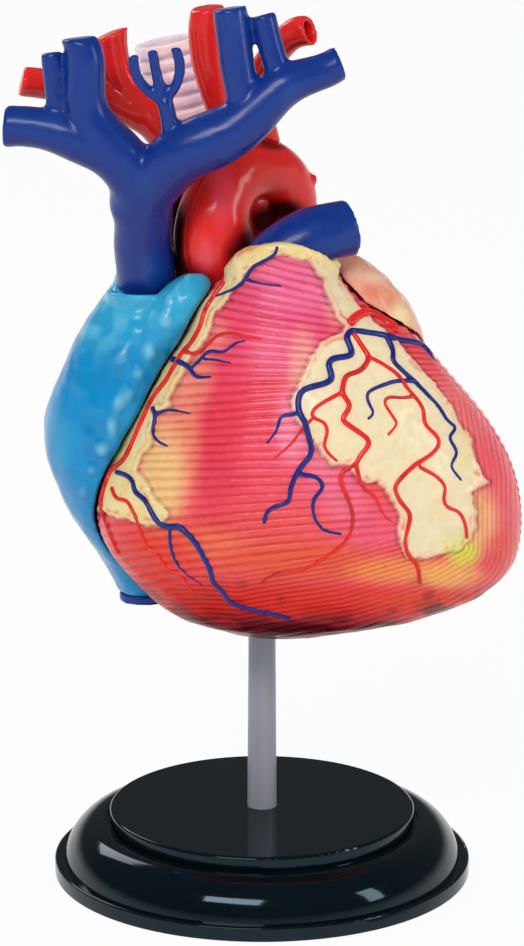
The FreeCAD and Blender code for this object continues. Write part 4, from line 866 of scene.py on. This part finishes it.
# The web that closes the arch's bend and the fold behind its foot, dark fillers that stand in for the shade
# seen through the bend and beside the upper vein, and a mould pip at its top
AORTA_EXTRAS = {
    "aortic_arch_rear": (
        straight_tube((-1.75, 7.4, 93.0), (-1.75, 7.4, 98.3), 3.0),
        straight_tube((-12.2, 6.6, 91.0), (-12.2, 6.6, 101.0), 1.3),
        straight_tube((-10.9, 2.8, 86.3), (-11.7, 4.6, 91.5), 1.15),
    ),
    "aortic_arch_front": (straight_tube((6.4, 11.6, 100.2), (7.5, 11.6, 100.2), 0.8, UP),),
}
# Painted shade over the arch's bend and edges, and painted highlights down its front, as places and reaches
# in the picture
ARCH_PAINTED_LIGHT = (
    ((284, 210), (24, 12), (30, 6, 8), 0.97),
    ((264, 222), (18, 18), (30, 6, 8), 0.97),
    ((250, 240), (12, 12), (30, 6, 8), 0.7),
    ((274, 143), (20, 8), (60, 8, 12), 0.8),
    ((177, 225), (7, 70), (26, 5, 8), 0.97),
    ((222, 196), (13, 34), (240, 84, 112), 0.45),
    ((205, 258), (8, 20), (240, 84, 112), 0.4),
)
for i, (node, recess, reach) in enumerate((
    ("aortic_arch_front", ("pulmonary_trunk", "superior_vena_cava"), 4.0),
    ("aortic_arch_rear", ("pulmonary_trunk", "superior_vena_cava", "trachea"), 4.0),
    ("brachiocephalic_artery", ("superior_vena_cava",), 3.2),
    ("left_common_carotid_artery", ("superior_vena_cava",), 3.0),
    ("left_subclavian_artery", ("superior_vena_cava",), 3.0),
)):
    dress_vessel(
        node, node + "_painted", "aorta", artery_paint, REDS,
        seed=60 + 3 * i, recess=recess, reach=reach, tubes=AORTA_EXTRAS.get(node, ()),
        painted_light=ARCH_PAINTED_LIGHT if node.startswith("aortic") else (),
    )
for node in ("left_pulmonary_veins", "right_pulmonary_veins"):
    dress_vessel(node, node + "_painted", "left_atrium", artery_paint, REDS)


# ------------------------------------------------------------------ right atrium
# Knobs down its front border: place and reach in the picture, height in mm
KNOBS = [
    ((187, 277), (5, 8), 0.35), ((178, 285), (5, 9), 0.35), ((170, 300), (6, 10), 0.4),
    ((160, 290), (5, 8), 0.3), ((166, 318), (6, 9), 0.4), ((152, 312), (6, 9), 0.35),
    ((150, 350), (7, 10), 0.45), ((136, 330), (6, 9), 0.3), ((138, 374), (8, 9), 0.45),
    ((128, 392), (8, 9), 0.45), ((118, 402), (7, 11), 0.45), ((112, 425), (6, 12), 0.45),
    ((102, 450), (7, 8), 0.4), ((92, 470), (7, 8), 0.35), ((84, 490), (7, 8), 0.3),
    ((120, 360), (8, 10), 0.25), ((100, 410), (8, 10), 0.25), ((88, 440), (8, 10), 0.25),
]
# Where the upper vein sits on the atrium, in mm, and the lip raised round its front
SEAT = np.array([-16.7, 1.0, 86.0])
SEAT_AXIS = np.array([0.0, -0.40981, 0.91217])
SEAT_FRONT, SEAT_SIDE = np.array([0.0, 0.91217, 0.40981]), np.array([1.0, 0.0, 0.0])
COLLAR_RADIUS, COLLAR_RISE, COLLAR_REACH, COLLAR_ROWS = 5.1, 3.2, 1.7, 9


def dress_right_atrium():
    turns = np.linspace(-COLLAR_REACH, COLLAR_REACH, 25)
    ring = np.outer(np.sin(turns), SEAT_SIDE) - np.outer(np.cos(turns), SEAT_FRONT)
    tubes = []
    for part in np.linspace(0, 1, COLLAR_ROWS):
        rise = COLLAR_RISE * np.cos(turns / COLLAR_REACH * math.pi / 2) * part
        spots = SEAT + ring * COLLAR_RADIUS + SEAT_AXIS * (rise - 0.5)[:, None]
        tubes.append((spots, ring.copy(), np.full(len(turns), 0.5)))
    mesh = remeshed("right_atrium", ROUND_CELL, tubes)
    co = points(mesh)
    away = np.linalg.norm(np.cross(co - SEAT, SEAT_AXIS), axis=1)
    rim = 1 - smooth(1.2, 2.4, np.abs(away - COLLAR_RADIUS))
    rim *= smooth(-1.5, -0.5, (co - SEAT) @ SEAT_AXIS)
    relax(mesh, 12, 0.5 - 0.42 * rim)
    co, n = points(mesh), normals(mesh)
    u, v = picture(co)
    outer = smooth(-0.1, 0.35, np.sum((co - np.array([-18, 4, 68])) * n, axis=1) / 8) * (1 - rim)
    height = 0.22 * grain(co, 4.4, 80) + 0.08 * grain(co, 1.6, 81)
    front = smooth(0.0, 0.35, -n[:, 1])
    for (a, b), (wide, high), rise in KNOBS:
        height += 1.3 * rise * np.exp(-(((u - a) / wide) ** 2) - ((v - b) / high) ** 2) * front
    set_points(mesh, co + n * (height * outer)[:, None])
    colour = plain(len(co), (0, 140, 200))
    # Painted sheen, a whitish haze on the front near the top
    painted_sheen = np.exp(-(((u - 100) / 34) ** 2) - ((v - 316) / 34) ** 2) * front
    colour = mix(colour, linear(70, 186, 218), smooth(76, 88, co[:, 2]) * 0.6)
    colour = mix(colour, linear(120, 206, 226), painted_sheen * 0.6 * smooth(-0.4, 0.6, grain(co, 1.8, 84)))
    colour = mix(colour, linear(30, 174, 216), smooth(0.1, 0.9, grain(co, 4.5, 82)) * 0.4)
    colour = mix(colour, linear(0, 118, 178), smooth(0.0, 0.7, grain(co, 3.4, 83)) * 0.35)
    # Painted highlight on the knob tops
    colour = mix(colour, linear(140, 212, 232), np.clip(height - 0.25, 0, 0.4) * 1.6 * outer)
    paint(mesh, colour)
    return piece("right_atrium_painted", mesh, "right_atrium", atrium_paint, ("right_atrium",))


dress_right_atrium()


# ------------------------------------------------------------------ left auricle and atrium
# Colours dabbed on the auricle, two orange-red ones of painted shade along its lower border, a pale painted
# highlight at its top and its own yellow patch: place and reach in the picture, colour, strength
AURICLE_DABS_AND_LIGHT = (
    ((372, 290), (12, 12), (222, 104, 66), 0.7),
    ((390, 302), (9, 9), (222, 104, 66), 0.6),
    ((402, 315), (11, 13), (252, 230, 172), 0.9),
    ((380, 276), (16, 8), (250, 214, 190), 0.7),
)


def dress_left(node, name, body):
    mesh = remeshed(node, ROUND_CELL)
    relax(mesh, 8)
    co, n = points(mesh), normals(mesh)
    height = 0.34 * grain(co, 2.8, 90) + 0.12 * grain(co, 1.3, 91)
    set_points(mesh, co + n * height[:, None])
    colour = plain(len(co), (242, 176, 150))
    colour = mix(colour, linear(232, 122, 96), smooth(0.1, 0.8, grain(co, 3.2, 92)) * 0.6)
    # Painted highlight on the lump tops
    colour = mix(colour, linear(246, 218, 184), smooth(0.0, 0.5, height) * 0.7)
    colour = mix(colour, linear(246, 214, 146), (1 - smooth(74, 80, co[:, 2])) * 0.6)
    u, v = picture(co)
    front = smooth(0.0, 0.4, -n[:, 1])
    for (a, b), (wide, high), tone, strength in AURICLE_DABS_AND_LIGHT:
        dab = strength * front * np.exp(-(((u - a) / wide) ** 2) - ((v - b) / high) ** 2)
        colour = mix(colour, linear(*tone), dab)
    paint(mesh, colour)
    return piece(name, mesh, body, auricle_paint, (node,))


dress_left("left_auricle", "left_auricle_painted", "left_auricle")
dress_left("left_atrium", "left_atrium_painted", "left_atrium")


# ------------------------------------------------------------------ windpipe, valves, inner muscle
def sunken(mesh, times):
    """How far, in mm, each point lies below its smoothed surroundings."""
    co, n = points(mesh), normals(mesh)
    relax(mesh, times)
    depth = np.sum((points(mesh) - co) * n, axis=1)
    set_points(mesh, co)
    return depth


def dress_soft(node, name, body, material, main, second, voxel, ease, lump=0.05, hollow=None):
    mesh = remeshed(node, voxel)
    relax(mesh, ease)
    co, n = points(mesh), normals(mesh)
    colour = mix(plain(len(co), main), linear(*second), smooth(-0.3, 0.8, grain(co, 2.0, 96)))
    if hollow:
        # Painted shade in the ring grooves
        colour = mix(colour, linear(*hollow), smooth(0.03, 0.16, sunken(mesh, 30)))
        # Painted shade over the lower front, behind the upper vein
        colour = mix(colour, RECESS_SHADE, (1 - smooth(96, 103, co[:, 2])) * smooth(0.0, 0.6, -n[:, 1]))
    set_points(mesh, co + n * (lump * grain(co, 1.6, 95))[:, None])
    paint(mesh, colour)
    return piece(name, mesh, body, material, (node,))


# The windpipe's hollow colour is painted shade in its ring grooves
dress_soft(
    "trachea", "trachea_painted", "windpipe", trachea_paint,
    (250, 232, 232), (236, 218, 236), RING_CELL, 1, hollow=(146, 126, 186),
)
dress_soft(
    "interventricular_septum", "septum_painted", "heart", inside_paint,
    (200, 80, 78), (170, 50, 56), SEPTUM_CELL, 4, 0.15,
)
for side in ("right", "left"):
    dress_soft(
        side + "_papillary_muscles", side + "_papillary_painted", "heart", inside_paint,
        (214, 104, 92), (190, 70, 66), INNER_CELL, 3, 0.05,
    )
for valve in ("tricuspid", "mitral", "pulmonary", "aortic"):
    dress_soft(
        valve + "_valve", valve + "_valve_painted", "heart", valve_paint,
        (232, 214, 178), (220, 190, 150), INNER_CELL, 2, 0.02,
    )


# ------------------------------------------------------------------ floor, light
SEEN_WHITE = 0.94  # how much of the floor's look is plain white
DAYLIGHT = 0.6  # even light from all round
CEILING = 0.1  # what gloss sees overhead, beside the lamps


def any_of(m, *rays):
    """1 for the named kinds of ray, else 0."""
    see = m.add("LightPath")
    value = see.outputs[rays[0]]
    for ray in rays[1:]:
        either = m.add("Math", operation="MAXIMUM")
        m.link(value, either.inputs[0])
        m.link(see.outputs[ray], either.inputs[1])
        value = either.outputs[0]
    return value


def stage_floor():
    m = new_material("floor_white")
    m.shader.inputs["Base Color"].default_value = (0.84, 0.84, 0.85, 1)
    m.shader.inputs["Roughness"].default_value = 0.8
    m.shader.inputs["Specular IOR Level"].default_value = 0.1
    white = m.add("Emission", Strength=1.0)
    part = m.span(any_of(m, "Is Camera Ray", "Is Glossy Ray", "Is Transmission Ray"), 0, 1, 0, SEEN_WHITE)
    blend = m.add("MixShader")
    m.link(part, blend.inputs["Fac"])
    m.link(m.shader.outputs[0], blend.inputs[1])
    m.link(white.outputs[0], blend.inputs[2])
    m.link(blend.outputs[0], m.tree.nodes["Material Output"].inputs["Surface"])
    mesh = bpy.data.meshes.new("floor")
    bm = bmesh.new()
    bmesh.ops.create_circle(bm, cap_ends=True, segments=96, radius=1.5)
    bm.to_mesh(mesh)
    bm.free()
    mesh.materials.append(m.owner)
    floor = bpy.data.objects.new("floor", mesh)
    floor.location.z = -0.0002
    scene.collection.objects.link(floor)


def studio():
    """Even white light; the camera sees white, and gloss a dim room over a white horizon."""
    world = bpy.data.worlds.new("studio")
    scene.world = world
    m = Nodes(world)
    light = m.tree.nodes["Background"]
    light.inputs["Color"].default_value = (1, 1, 1, 1)
    light.inputs["Strength"].default_value = DAYLIGHT
    place = m.add("TexCoord")
    split = m.add("SeparateXYZ")
    m.link(place.outputs["Generated"], split.inputs[0])
    room = m.add("Background")
    room.inputs["Color"].default_value = (1, 1, 1, 1)
    m.link(m.span(split.outputs["Z"], 0.0, 0.2, 1.0, CEILING), room.inputs["Strength"])
    white = m.add("Background", Strength=1.0)
    white.inputs["Color"].default_value = (1, 1, 1, 1)
    below = light.outputs[0]
    for rays, above in ((("Is Glossy Ray",), room), (("Is Camera Ray", "Is Transmission Ray"), white)):
        blend = m.add("MixShader")
        m.link(any_of(m, *rays), blend.inputs["Fac"])
        m.link(below, blend.inputs[1])
        m.link(above.outputs[0], blend.inputs[2])
        below = blend.outputs[0]
    m.link(below, m.tree.nodes["World Output"].inputs["Surface"])


def softbox(name, place, size, power):
    lamp = bpy.data.lights.new(name, "AREA")
    lamp.shape = "RECTANGLE"
    lamp.size, lamp.size_y = size
    lamp.energy = power
    thing = bpy.data.objects.new(name, lamp)
    scene.collection.objects.link(thing)
    thing.location = place
    aim = Vector((0, 0, 0.075)) - Vector(place)
    thing.rotation_euler = aim.to_track_quat("-Z", "Y").to_euler()


stage_floor()
studio()
softbox("key", (-0.16, -0.46, 0.46), (0.34, 0.14), 1.6)
softbox("side", (0.5, -0.2, 0.26), (0.1, 0.24), 0.5)
softbox("back", (-0.3, 0.4, 0.4), (0.2, 0.2), 0.5)
